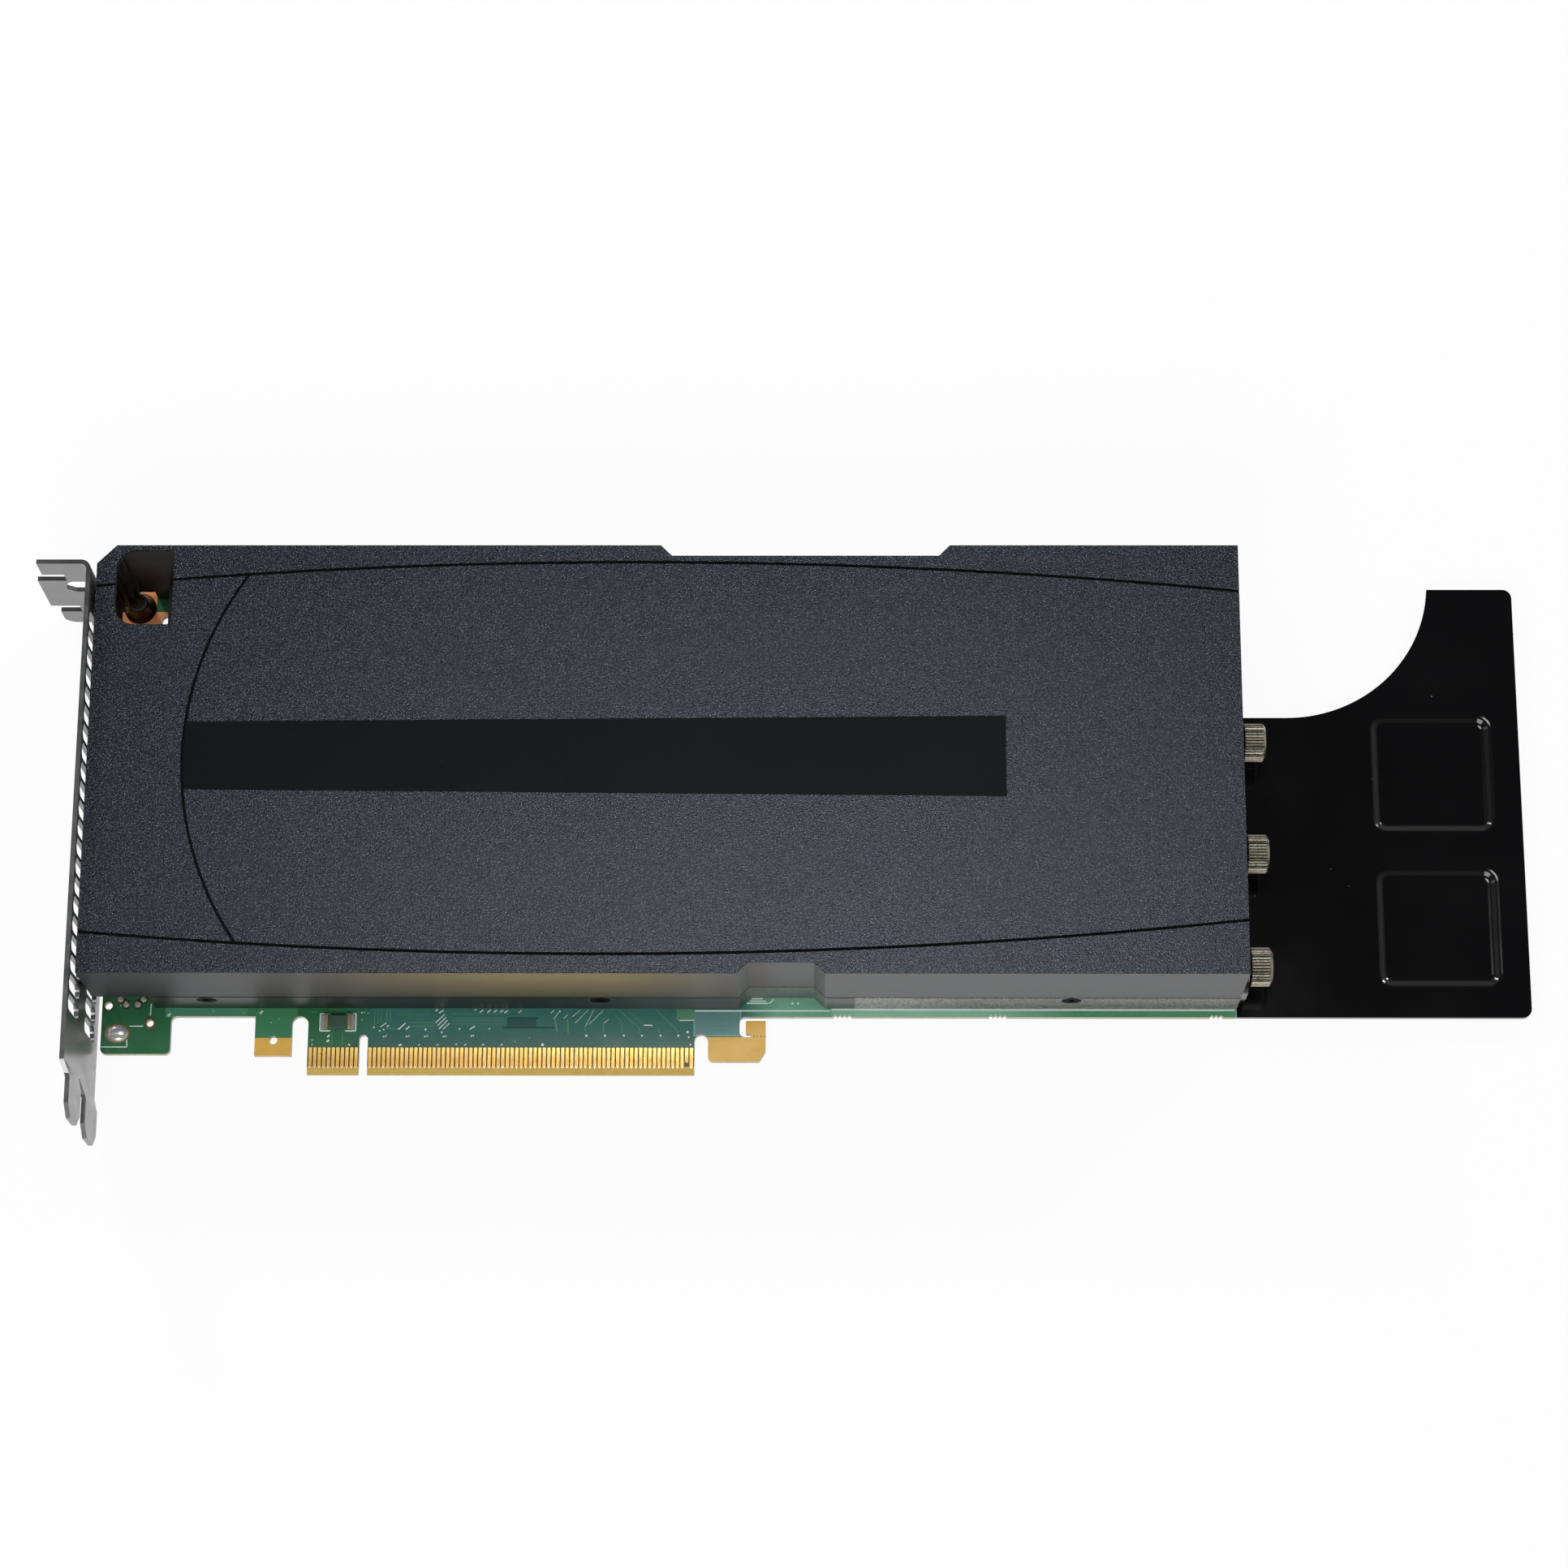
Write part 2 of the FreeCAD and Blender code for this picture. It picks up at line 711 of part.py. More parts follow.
def make_contacts():
    places = [-(S.first_contact + index * S.contact_pitch) for index in range(CONTACTS_BEFORE_KEY)]
    places += [S.first_contact + index * S.contact_pitch for index in range(CONTACTS_AFTER_KEY)]
    presence = places[-2]
    for label, low in (("edge_contacts_front", as_size(0)),
                       ("edge_contacts_back", board_bottom - S.contact_plate)):
        contacts = []
        for x in places:
            start = S.contact_low + S.contact_short if x is presence else S.contact_low
            contacts.append(box("contact", (x - S.contact_width / 2, start, low),
                                (S.contact_width, S.contact_high - start, S.contact_plate)))
        group(label, contacts)


def make_small_parts():
    """What stands on the board outside the frame, by the contacts and on the foot."""
    body = S.shunt_length - 2 * S.shunt_cap
    low_y = S.shunt_y - S.shunt_width / 2
    body_left = S.shunt_x - body / 2
    node("shunt_resistor", box("shunt_body", (body_left, low_y, 0), (body, S.shunt_width, S.shunt_height)))
    caps = [box("shunt_cap", (x, low_y, 0), (S.shunt_cap, S.shunt_width, S.shunt_height))
            for x in (body_left - S.shunt_cap, body_left + body)]
    group("shunt_terminals", caps)
    blob = doc.addObject("Part::Ellipsoid", "blob")
    bind(blob, "Radius1", S.blob_height)
    bind(blob, "Radius2", S.blob_length / 2)
    bind(blob, "Radius3", S.blob_width / 2)
    blob.Angle1 = 0
    place(blob, (board_left + S.blob_x, S.foot_low + S.blob_y, 0))
    tail_x = board_left + S.tail_middle
    tails = [cone("pin_tail", (tail_x + side * half_pitch, S.foot_low + row, 0), 0.75, 0.35, 0.7)
             for row, half_pitch in ((S.tail_low_row, S.tail_low_half_pitch),
                                     (S.tail_high_row, S.tail_high_half_pitch)) for side in (-1, 1)]
    group("solder_joints", [blob] + tails)
    spot = corner_spot()
    head = cylinder("corner_post_head", (spot[0], spot[1], 0), S.corner_post_radius, S.corner_post_height)
    shank = cylinder("corner_post_shank", (spot[0], spot[1], board_bottom), S.screw_hole_radius,
                     S.board_thickness)
    socket = cylinder("corner_post_socket", (spot[0], spot[1], S.corner_post_floor), S.corner_post_socket,
                      S.corner_post_height)
    node("corner_post", cut("corner_post_cut", fuse("corner_post_blank", [head, shank]), [socket]))


# ---- bracket ------------------------------------------------------------------------------------

def make_io_bracket():
    outer, inner, sheet_ = bracket_face, bracket_inner, S.sheet
    flange_end = outer - S.flange_depth - S.flange_ear
    top = flange_seat + sheet_
    shift = S.joggle_shift
    section = [
        (flange_end, flange_seat), (outer, flange_seat), (outer, S.joggle_high),
        (outer + shift, S.joggle_low), (outer + shift, S.tongue_tip), (inner + shift, S.tongue_tip),
        (inner + shift, S.joggle_low), (inner, S.joggle_high), (inner, top), (flange_end, top),
    ]
    bracket = plate("bracket_sheet", section, bracket_bottom, S.bracket_width)
    round_corners(bracket, "fold_inside", S.fold_radius, [(outer, flange_seat)])
    round_corners(bracket, "fold_outside", S.fold_radius + sheet_, [(inner, top)])
    tabs = new_sketch(bracket, "bracket_tabs", offset=bracket_bottom)
    half = S.bracket_tab_width / 2
    for middle in tab_rows:
        start, end = outer + sheet_ / 2, inner + S.bracket_tab_length
        add_polygon(tabs, [(start, middle - half), (end, middle - half), (end, middle + half),
                           (start, middle + half)])
    pad(bracket, "bracket_tab_pads", tabs, sheet_)
    holes = new_sketch(bracket, "tab_holes", offset=bracket_bottom)
    for spot in tab_screw_spots():
        add_circle(holes, spot, S.screw_hole_radius)
    pocket(bracket, "tab_hole_cuts", holes, sheet_, upward=True)
    cut_vents(bracket)
    cut_flange(bracket)
    cut_tongues(bracket)
    node("io_bracket", bracket)


def cut_vents(bracket):
    """Two columns of long vents, one behind each card slot."""
    vents = new_sketch(bracket, "vents", "YZ_Plane", bracket_face)
    for column in (0, 1):
        middle = S.first_slot + column * S.slot_pitch + S.vent_offset
        add_slot(vents, (S.vent_low, middle), S.vent_length, S.vent_height)
    first_pair = pocket(bracket, "vent_pair", vents, S.sheet, upward=True)
    rows = bracket.newObject("PartDesign::LinearPattern", "vent_rows")
    rows.Originals = [first_pair]
    rows.Direction = (vents, ["H_Axis"])
    rows.Occurrences = VENT_ROWS
    bind(rows, "Length", (VENT_ROWS - 1) * S.vent_pitch)
    bracket.Tip = rows
    doc.recompute()


def cut_flange(bracket):
    """Outline of the screw flange: two open screw slots, the ear between them and the fold relief."""
    outer = bracket_face
    edge = outer - S.flange_depth
    ear_end = edge - S.flange_ear
    beyond = ear_end - 1
    slot_end = edge + S.screw_slot_depth
    low_slot, high_slot = S.first_slot, S.first_slot + S.slot_pitch
    half = S.screw_slot_width / 2
    top = bracket_bottom + S.bracket_width
    sketch = new_sketch(bracket, "flange_cuts", "XZ_Plane", -(flange_seat + S.sheet + 1))
    add_polygon(sketch, [(beyond, bracket_bottom - 1), (edge, bracket_bottom - 1), (edge, low_slot - half),
                         (slot_end, low_slot - half), (slot_end, low_slot + half),
                         (beyond, low_slot + half)])
    add_polygon(sketch, [(beyond, high_slot - half), (slot_end, high_slot - half),
                         (slot_end, high_slot + half), (edge, high_slot + half), (edge, top + 1),
                         (beyond, top + 1)])
    middle = (low_slot + high_slot) / 2 + S.relief_offset
    half_relief = S.relief_length / 2
    bend = outer
    corner = S.relief_corner
    add_polygon(sketch, [(bend - S.relief_depth, middle - half_relief + corner),
                         (bend - S.relief_depth + corner, middle - half_relief),
                         (bend, middle - half_relief), (bend, middle + half_relief),
                         (bend - S.relief_depth + corner, middle + half_relief),
                         (bend - S.relief_depth, middle + half_relief - corner)])
    pocket(bracket, "flange_shape", sketch, S.sheet + 2, upward=True)
    round_corners(bracket, "flange_corner", 3.0, [(edge, bracket_bottom)], axis=1)


def cut_tongues(bracket):
    """The lower end splits into two tapered tongues, one for each card slot."""
    taper, rise = S.tongue_taper, S.tongue_taper_height
    low, high = bracket_bottom, bracket_bottom + S.bracket_width
    tip, start = S.tongue_tip, S.joggle_high
    below = tip - 1
    step = S.slot_pitch
    low_end = low + 2.2
    middle_low, middle_high = low_end + S.tongue_width, low_end + step
    split = (middle_low + middle_high) / 2
    high_end = middle_high + S.tongue_width
    sketch = new_sketch(bracket, "tongue_cuts", "YZ_Plane", bracket_face - 1)
    add_polygon(sketch, [(below, low - 1), (start, low - 1), (start, low), (start - rise, low_end),
                         (tip + rise, low_end), (tip, low_end + taper), (below, low_end + taper)])
    add_polygon(sketch, [(below, middle_low - taper), (tip, middle_low - taper), (tip + rise, middle_low),
                         (start - rise, middle_low), (start, split - 0.8), (start, split + 0.8),
                         (start - rise, middle_high), (tip + rise, middle_high),
                         (tip, middle_high + taper), (below, middle_high + taper)])
    add_polygon(sketch, [(below, high_end - taper), (tip, high_end - taper), (tip + rise, high_end),
                         (start - rise, high_end), (start, high), (start, high + 1), (below, high + 1)])
    pocket(bracket, "tongue_shape", sketch, S.sheet + S.joggle_shift + 3, upward=True)


def make_tab_fasteners():
    """Thin-headed screws come up through the tabs and the board into nuts on the component side."""
    nut_height = 2.4
    head_height = bracket_bottom - rest_level
    screws, nuts = [], []
    for x, y in tab_screw_spots():
        head = cylinder("tab_screw_head", (x, y, rest_level), S.screw_head_radius, head_height)
        shank = cylinder("tab_screw_shank", (x, y, bracket_bottom), S.pilot_radius,
                         nut_height - bracket_bottom)
        screws.append(fuse("tab_screw", [head, shank]))
        blank = doc.addObject("Part::Prism", "nut_blank")
        blank.Polygon = 6
        bind(blank, "Circumradius", 3.1)
        bind(blank, "Height", nut_height)
        place(blank, (x, y, 0))
        nuts.append(cut("tab_nut", blank, [cylinder("nut_bore", (x, y, 0), S.pilot_radius, nut_height)]))
    group("bracket_screws", screws)
    group("bracket_nuts", nuts)


# ---- cover and frame ----------------------------------------------------------------------------

def shell_outline(inset, left, right, corner=None):
    """Plan outline of the cover and the frame, with the recess in each long side."""
    front, back = cover_front + inset, cover_back - inset
    depth = S.recess_depth
    slope = depth
    f0 = S.front_recess_start
    f1 = f0 + S.front_recess_length
    b0 = S.back_recess_start
    b1 = b0 + S.back_recess_length
    points = [
        (left, front), (f0 - inset, front), (f0 + slope - inset, front + depth),
        (f1 - slope + inset, front + depth), (f1 + inset, front), (right, front), (right, back),
        (b1 + inset, back), (b1 - slope + inset, back - depth), (b0 + slope - inset, back - depth),
        (b0 - inset, back),
    ]
    if corner is None:
        return points + [(left, back)]
    return points + [(left + corner, back), (left, back - corner)]


def make_cover():
    cover = plate("cover_block", shell_outline(as_size(0), cover_left, cover_right, S.corner_cut),
                  S.frame_height, S.cover_top - S.frame_height)
    inside = new_sketch(cover, "cover_inside", offset=S.frame_height)
    wall = S.cover_wall
    corner_end = cover_back - S.corner_cut - S.corner_wall
    cut_inside = [(cover_left + S.corner_cut + wall, cover_back - wall),
                  (cover_left + wall, cover_back - S.corner_cut - wall)]
    hollow = shell_outline(wall, cover_left - 2, cover_right + 2)[:-1] + cut_inside
    add_polygon(inside, hollow + [(cover_left + wall, corner_end), (cover_left - 2, corner_end)])
    pocket(cover, "cover_hollow", inside, cover_inside - S.frame_height, upward=True)
    skirt_low = S.corner_post_height + S.skirt_clearance
    skirt_end = frame_left - S.skirt_clearance
    skirt = plate("corner_skirt", [(cover_left, corner_end), (cover_left + wall, corner_end)]
                  + cut_inside[::-1] + [(skirt_end, cover_back - wall), (skirt_end, cover_back),
                                        (cover_left + S.corner_cut, cover_back),
                                        (cover_left, cover_back - S.corner_cut)],
                  skirt_low, S.frame_height - skirt_low)
    post_x, post_y = corner_spot()
    foot_start = post_x + S.corner_post_radius + S.skirt_clearance
    foot_end = post_y - S.corner_post_radius - S.skirt_clearance
    feet = [box("back_foot", (foot_start, cover_back - wall, S.skirt_clearance),
                (skirt_end - foot_start, wall, skirt_low + wall - S.skirt_clearance)),
            box("side_foot", (cover_left, corner_end, S.skirt_clearance),
                (wall, foot_end - corner_end, skirt_low + wall - S.skirt_clearance))]
    ribs = []
    for step in range(4):
        x = cover_left + wall - 0.1 + step * S.rib_step
        y = cover_back - wall - S.rib_inset + step * S.rib_rise
        ribs.append(box("corner_rib", (x, y, skirt_low),
                        (S.rib_length, S.rib_thickness, cover_inside - skirt_low)))
    tongues = cover_tongues()
    bores = [cylinder("tongue_bore", (x, y, screw_height), S.cover_screw_radius, length, "y")
             for x, y, length in tongue_bores()]
    solid = fuse("cover_solid", [cover, skirt] + feet + ribs + tongues)
    node("cover", cut("cover_cut", solid, bores + grooves() + [window_cutter(), band_blank("band_recess")]))


def window_cutter():
    """Opening in the cover's face at the bracket end, over the board's mounting hole."""
    left = cover_left + S.window_start
    right = left + S.window_length
    back = cover_back - S.cover_wall
    front = back - S.window_height
    cutter = plate("window_cutter", [(left, front), (right, front), (right, back), (left, back)],
                   cover_inside - 1, S.cover_skin + 2)
    round_corners(cutter, "window_rounds", S.window_round, [(left, front), (left, back)])
    round_corners(cutter, "window_corners", S.window_corner, [(right, front), (right, back)])
    return cutter


def cover_tongues():
    """Tongues inside the frame's long walls, which the cover screws go into, each with its bridge."""
    play = 0.05
    low = floor_top + 0.2
    high = S.frame_height + 4.0
    parts = []
    for x in cover_screw_columns:
        left = x - S.tongue_length / 2
        front = frame_inner_front + play
        back = frame_inner_back - play - S.tongue_thickness
        parts.append(box("tongue", (left, front, low), (S.tongue_length, S.tongue_thickness, high - low)))
        parts.append(box("tongue", (left, back, low), (S.tongue_length, S.tongue_thickness, high - low)))
        bridge = front + 0.5 - (cover_front + S.cover_wall / 2)
        parts.append(box("bridge", (left, cover_front + S.cover_wall / 2, S.frame_height),
                         (S.tongue_length, bridge, high - S.frame_height)))
        parts.append(box("bridge", (left, cover_back - S.cover_wall / 2 - bridge, S.frame_height),
                         (S.tongue_length, bridge, high - S.frame_height)))
    return parts


def tongue_bores():
    """Start and length of each cover screw's threaded hole in its tongue."""
    length = S.frame_wall + S.tongue_thickness + 1
    return ([(x, cover_front, length) for x in cover_screw_columns]
            + [(x, cover_back - length, length) for x in cover_screw_columns])


def ring(name, centre, radius, low, height):
    """A thin upright ring, as wide as a groove."""
    half = S.groove_width / 2
    return cut(name, cylinder(f"{name}_outside", (centre[0], centre[1], low), radius + half, height),
               [cylinder(f"{name}_inside", (centre[0], centre[1], low), radius - half, height)])


def grooves():
    """Three shallow grooves in the cover's face: two long flat arcs and one across the bracket end."""
    low = S.cover_top - S.groove_depth
    height = S.groove_depth + 0.5
    radius = S.long_arc_radius
    span = cover_right - cover_left
    back_peak = cover_back - S.back_arc_inset
    front_peak = cover_front + S.front_arc_inset
    field = front_peak - S.groove_width
    back = ring("back_groove", (S.back_arc_middle, back_peak - radius), radius, low, height)
    back_field = box("back_field", (cover_left - 1, middle_y, low),
                     (span + 2, cover_back - middle_y, height))
    front = ring("front_groove", (S.front_arc_middle, front_peak + radius), radius, low, height)
    front_field = box("front_field", (cover_left - 1, field, low),
                      (span + 2, middle_y - field, height))
    end = ring("end_groove", end_arc_centre, S.end_arc_radius, low, height)
    end_field = box("end_field", (end_arc_peak - 1, middle_y - S.end_arc_reach, low),
                    (S.end_arc_reach / 2, 2 * S.end_arc_reach, height))
    return [common("back_arc", back, back_field), common("front_arc", front, front_field),
            common("end_arc", end, end_field)]


def band_blank(name):
    """The film's shape: a band that widens to the right and starts at the end groove."""
    start = end_arc_peak
    narrow, wide = S.band_narrow / 2, S.band_wide / 2
    middle = middle_y
    low = S.cover_top - S.band_film
    band_end = cover_right - S.band_end_inset
    strip = plate(f"{name}_strip", [(start, middle - narrow), (band_end, middle - wide),
                                    (band_end, middle + wide), (start, middle + narrow)],
                  low, S.band_film)
    centre = end_arc_centre
    reach = 10.0
    corner = box(f"{name}_corner", (start - 1, middle - S.band_wide, low - 1),
                 (reach, 2 * S.band_wide, S.band_film + 2))
    disc = cylinder(f"{name}_disc", (centre[0], centre[1], low - 1), S.end_arc_radius - S.groove_width / 2,
                    S.band_film + 2)
    return cut(name, strip, [cut(f"{name}_outside", corner, [disc])])


def make_base_frame():
    """Cast frame under the cooler: outer wall, floor over the chips, screw bosses and the end wall."""
    frame = plate("frame_block", shell_outline(as_size(0), frame_left, cover_right), 0, S.frame_height)
    wall = S.frame_wall
    for name, low, depth in (("frame_under", 0, S.floor_low), ("frame_over", floor_top, None)):
        sketch = new_sketch(frame, f"{name}_sketch", offset=low)
        add_polygon(sketch, shell_outline(wall, frame_left + wall, cover_right - wall))
        pocket(frame, name, sketch, depth or S.frame_height - floor_top, upward=True)
    seam = new_sketch(frame, "seam_sketch", offset=S.frame_height)
    add_polygon(seam, shell_outline(as_size(0), frame_left - 1, cover_right + 1))
    add_polygon(seam, shell_outline(S.seam_depth, frame_left + S.seam_depth, cover_right - S.seam_depth))
    pocket(frame, "seam", seam, S.seam_height)
    upright_front = cover_front + S.cover_wall + 0.2
    end_wall = box("end_wall", (cover_right - wall, upright_front, S.floor_low),
                   (wall, upright_end - upright_front, S.end_wall_height - S.floor_low))
    frame_spots, _ = board_screw_spots()
    bosses = [cylinder("boss", (x, y, 0), S.boss_radius, S.cooler_low) for x, y in frame_spots]
    thumbs = [cylinder("thumb_boss", (cover_right - S.thumb_boss_length, y, S.thumb_height),
                       S.thumb_boss_radius, S.thumb_boss_length, "x") for y in thumb_rows]
    solid = fuse("frame_solid", [frame, end_wall] + bosses + thumbs)
    half = S.post_offset + S.post_radius + 0.2
    window = centred_box("processor_window", (S.processor_x, middle_y), S.floor_low - 1,
                         (2 * half, 2 * half, S.floor_thickness + 2))
    supply_low = supply_rows[0] - S.inductor_side / 2 - 1
    supply_high = supply_rows[-1] + S.inductor_side / 2 + 1
    supply_left = inductor_x - S.inductor_side / 2 - 1
    supply_right = capacitor_x + S.capacitor_radius + 1
    supply = box("supply_window", (supply_left, supply_low, S.floor_low - 1),
                 (supply_right - supply_left, supply_high - supply_low, S.floor_thickness + 2))
    room = 0.4
    connector = box("connector_room", (cover_right - S.connector_length - room, connector_bottom - room, -1),
                    (S.connector_length + room + 1, S.connector_width + 2 * room, S.frame_height + 2))
    pilots = [cylinder("pilot", (x, y, -1), S.pilot_radius, S.screw_grip + 1) for x, y in frame_spots]
    thumb_pilots = [cylinder("thumb_pilot", (cover_right - S.thumb_shank_length, y, S.thumb_height),
                             S.thumb_shank_radius, S.thumb_shank_length + 1, "x") for y in thumb_rows]
    node("base_frame", cut("frame_cut", solid, [window, supply, connector] + pilots + thumb_pilots
                           + countersinks()))


def screw_cone(name, x, side, front_face, back_face):
    """Countersunk head of a cover screw, with its point towards the middle of the card."""
    depth = S.cover_screw_head - S.cover_screw_radius
    if side == "front":
        return cone(name, (x, front_face, screw_height), S.cover_screw_head, S.cover_screw_radius,
                    depth, "y")
    return cone(name, (x, back_face - depth, screw_height), S.cover_screw_radius,
                S.cover_screw_head, depth, "y")


def countersinks():
    tools = []
    for x in cover_screw_columns:
        for side in ("front", "back"):
            tools.append(screw_cone("countersink", x, side, cover_front, cover_back))
    tools += [cylinder("screw_way", (x, y, screw_height), S.cover_screw_radius, length, "y")
              for x, y, length in tongue_bores()]
    return tools


def make_cover_screws():
    screws = []
    socket_radius, socket_depth = 0.8, 0.6
    for x in cover_screw_columns:
        for side in ("front", "back"):
            head = screw_cone("cover_screw_head", x, side, cover_front, cover_back)
            start = cover_front if side == "front" else cover_back - S.cover_screw_length
            shank = cylinder("cover_screw_shank", (x, start, screw_height), S.cover_screw_radius,
                             S.cover_screw_length, "y")
            low = cover_front if side == "front" else cover_back - socket_depth
            socket = cylinder("cover_screw_socket", (x, low, screw_height), socket_radius,
                              socket_depth, "y")
            screws.append(cut("cover_screw", fuse("cover_screw_blank", [head, shank]), [socket]))
    group("cover_screws", screws)


def make_frame_screws():
    """Screws from the back of the board into the frame's bosses."""
    screws = []
    for x, y in board_screw_spots()[0]:
        head = cylinder("frame_screw_head", (x, y, rest_level), S.screw_head_radius, S.screw_head_height)
        shank = cylinder("frame_screw_shank", (x, y, board_bottom), S.pilot_radius,
                         S.screw_grip - board_bottom - 0.2)
        socket = cylinder("frame_screw_socket", (x, y, rest_level), 1.2, 0.9)
        screws.append(cut("frame_screw", fuse("frame_screw_blank", [head, shank]), [socket]))
    group("frame_screws", screws)


# ---- processor, cooler and supply ---------------------------------------------------------------

def make_processor():
    centre = (S.processor_x, middle_y)
    node("processor_package", centred_box("package", centre, 0, (S.package_side, S.package_side,
                                                                 S.package_height)))
    node("processor_die", centred_box("die", centre, die_low, (S.die_side, S.die_side, S.die_height)))
    node("thermal_paste", centred_box("paste", centre, paste_low, (S.die_side, S.die_side, S.paste_height)))


def make_cooler():
    px, py = S.processor_x, middle_y
    base = box("cooler_plate", (cooler_start, cooler_front, S.cooler_low),
               (cooler_end - cooler_start, cooler_back - cooler_front, S.cooler_base))
    pedestal = centred_box("pedestal", (px, py), pedestal_low,
                           (S.pedestal_side, S.pedestal_side, S.cooler_low - pedestal_low + 1))
    _, post_spots = board_screw_spots()
    posts = [cylinder("cooler_post", (x, y, 0), S.post_radius, S.cooler_low + 1) for x, y in post_spots]
    pilots = [cylinder("post_pilot", (x, y, -1), S.pilot_radius, S.screw_grip + 1) for x, y in post_spots]
    node("heatsink_base", cut("cooler_cut", fuse("cooler_blank", [base, pedestal] + posts), pilots))
    height = cover_inside - S.fin_clearance - fins_low
    width = (cooler_back - cooler_front).value
    count = int((width - 2.0) // S.fin_pitch.value) + 1
    first = (cooler_front + cooler_back) / 2 - (count - 1) / 2 * S.fin_pitch - S.fin_thickness / 2
    fins = [box("fin", (cooler_start, first + index * S.fin_pitch, fins_low),
                (cooler_end - cooler_start, S.fin_thickness, height)) for index in range(count)]
    group("fin_stack", fins)


def make_retention():
    """Sprung cross behind the processor, with the four screws that pull the cooler down."""
    _, post_spots = board_screw_spots()
    px, py = S.processor_x, middle_y
    low = board_bottom - S.retention_sheet
    reach = S.post_offset + S.retention_arm / 2
    half = S.retention_arm / 2
    ring_side = 2 * reach
    hole = ring_side - 2 * S.retention_arm
    outside = centred_box("retention_outside", (px, py), low, (ring_side, ring_side, S.retention_sheet))
    inside = centred_box("retention_inside", (px, py), low, (hole, hole, S.retention_sheet))
    frame = cut("retention_ring", outside, [inside])
    bars = [box("retention_bar", (px - reach, py - half, low), (ring_side, S.retention_arm,
                                                               S.retention_sheet)),
            box("retention_bar", (px - half, py - reach, low), (S.retention_arm, ring_side,
                                                               S.retention_sheet))]
    holes = [cylinder("retention_hole", (x, y, low), S.screw_hole_radius, S.retention_sheet)
             for x, y in post_spots]
    node("retention_plate", cut("retention_cut", fuse("retention_blank", [frame] + bars), holes))
    screws = []
    for x, y in post_spots:
        head = cylinder("retention_head", (x, y, rest_level), S.screw_head_radius, low - rest_level)
        shank = cylinder("retention_shank", (x, y, low), S.pilot_radius, S.screw_grip - low - 0.2)
        screws.append(fuse("retention_screw", [head, shank]))
    group("retention_screws", screws)


def memory_spots():
    px, py, pitch = S.processor_x, middle_y, S.memory_pitch
    spots = [(px + side * S.memory_offset, py + row * pitch) for side in (-1, 1) for row in FOUR_ROWS]
    return spots + [(px - S.memory_outer_offset, py + row * pitch) for row in FOUR_ROWS[1:3]]


def make_board_chips():
    memory = (S.memory_length, S.memory_width, S.memory_height)
    pad_sides = (S.memory_length - 1, S.memory_width - 1, S.floor_low - S.memory_height)
    front = [centred_box("memory", spot, 0, memory) for spot in memory_spots()]
    group("memory_chips_front", front)
    back_low = board_bottom - S.memory_height
    back = [centred_box("memory_back", spot, back_low, memory) for spot in memory_spots()]
    group("memory_chips_back", back)
    pads = [centred_box("memory_pad", spot, S.memory_height, pad_sides) for spot in memory_spots()]
    stages = [(cover_right - S.stage_inset, y) for y in supply_rows]
    stage_pad = (5.0, 6.0, S.floor_low - S.stage_height)
    pads += [centred_box("stage_pad", spot, S.stage_height, stage_pad) for spot in stages]
    group("thermal_pads", pads)
    group("power_stages", [centred_box("stage", spot, 0, (6.0, 7.0, S.stage_height)) for spot in stages])
    side = S.inductor_side
    group("inductors", [centred_box("inductor", (inductor_x, y), 0, (side, side, S.inductor_height))
                        for y in supply_rows])
    group("capacitors", [cylinder("capacitor", (capacitor_x, y, 0), S.capacitor_radius, S.capacitor_height)
                         for y in supply_rows])
    chip_x = cover_right - S.chip_inset
    group("controller_chips", [centred_box("chip", (chip_x, y), 0, (S.chip_side, S.chip_side, S.chip_height))
                               for y in chip_rows])


def make_power_connector():
    """Eight-way power header on the board's right end, with its mouth to the right."""
    left = cover_right - S.connector_length
    columns, rows = 4, 2
    middle_y = (connector_bottom + connector_top) / 2
    middle_z = S.connector_height / 2
    shell = box("connector_shell", (left, connector_bottom, 0),
                (S.connector_length, S.connector_width, S.connector_height))
    latch = box("connector_latch", (cover_right - S.latch_inset, middle_y - S.latch_width / 2,
                                    S.connector_height), (S.latch_length, S.latch_width, S.latch_height))
    cavities, pins = [], []
    for column in range(columns):
        for line in range(rows):
            y = middle_y + (column - (columns - 1) / 2) * S.pin_pitch
            z = middle_z + (line - (rows - 1) / 2) * S.pin_pitch
            cavities.append(box("cavity", (cover_right - S.cavity_depth, y - S.cavity_side / 2,
                                           z - S.cavity_side / 2),
                                (S.cavity_depth + 1, S.cavity_side, S.cavity_side)))
            pins.append(box("pin", (cover_right - S.cavity_depth, y - S.pin_side / 2, z - S.pin_side / 2),
                            (S.cavity_depth - 3, S.pin_side, S.pin_side)))
    node("power_connector", cut("connector_cut", fuse("connector_blank", [shell, latch]), cavities))
    group("power_pins", pins)


# ---- card-guide extender ------------------------------------------------------------------------

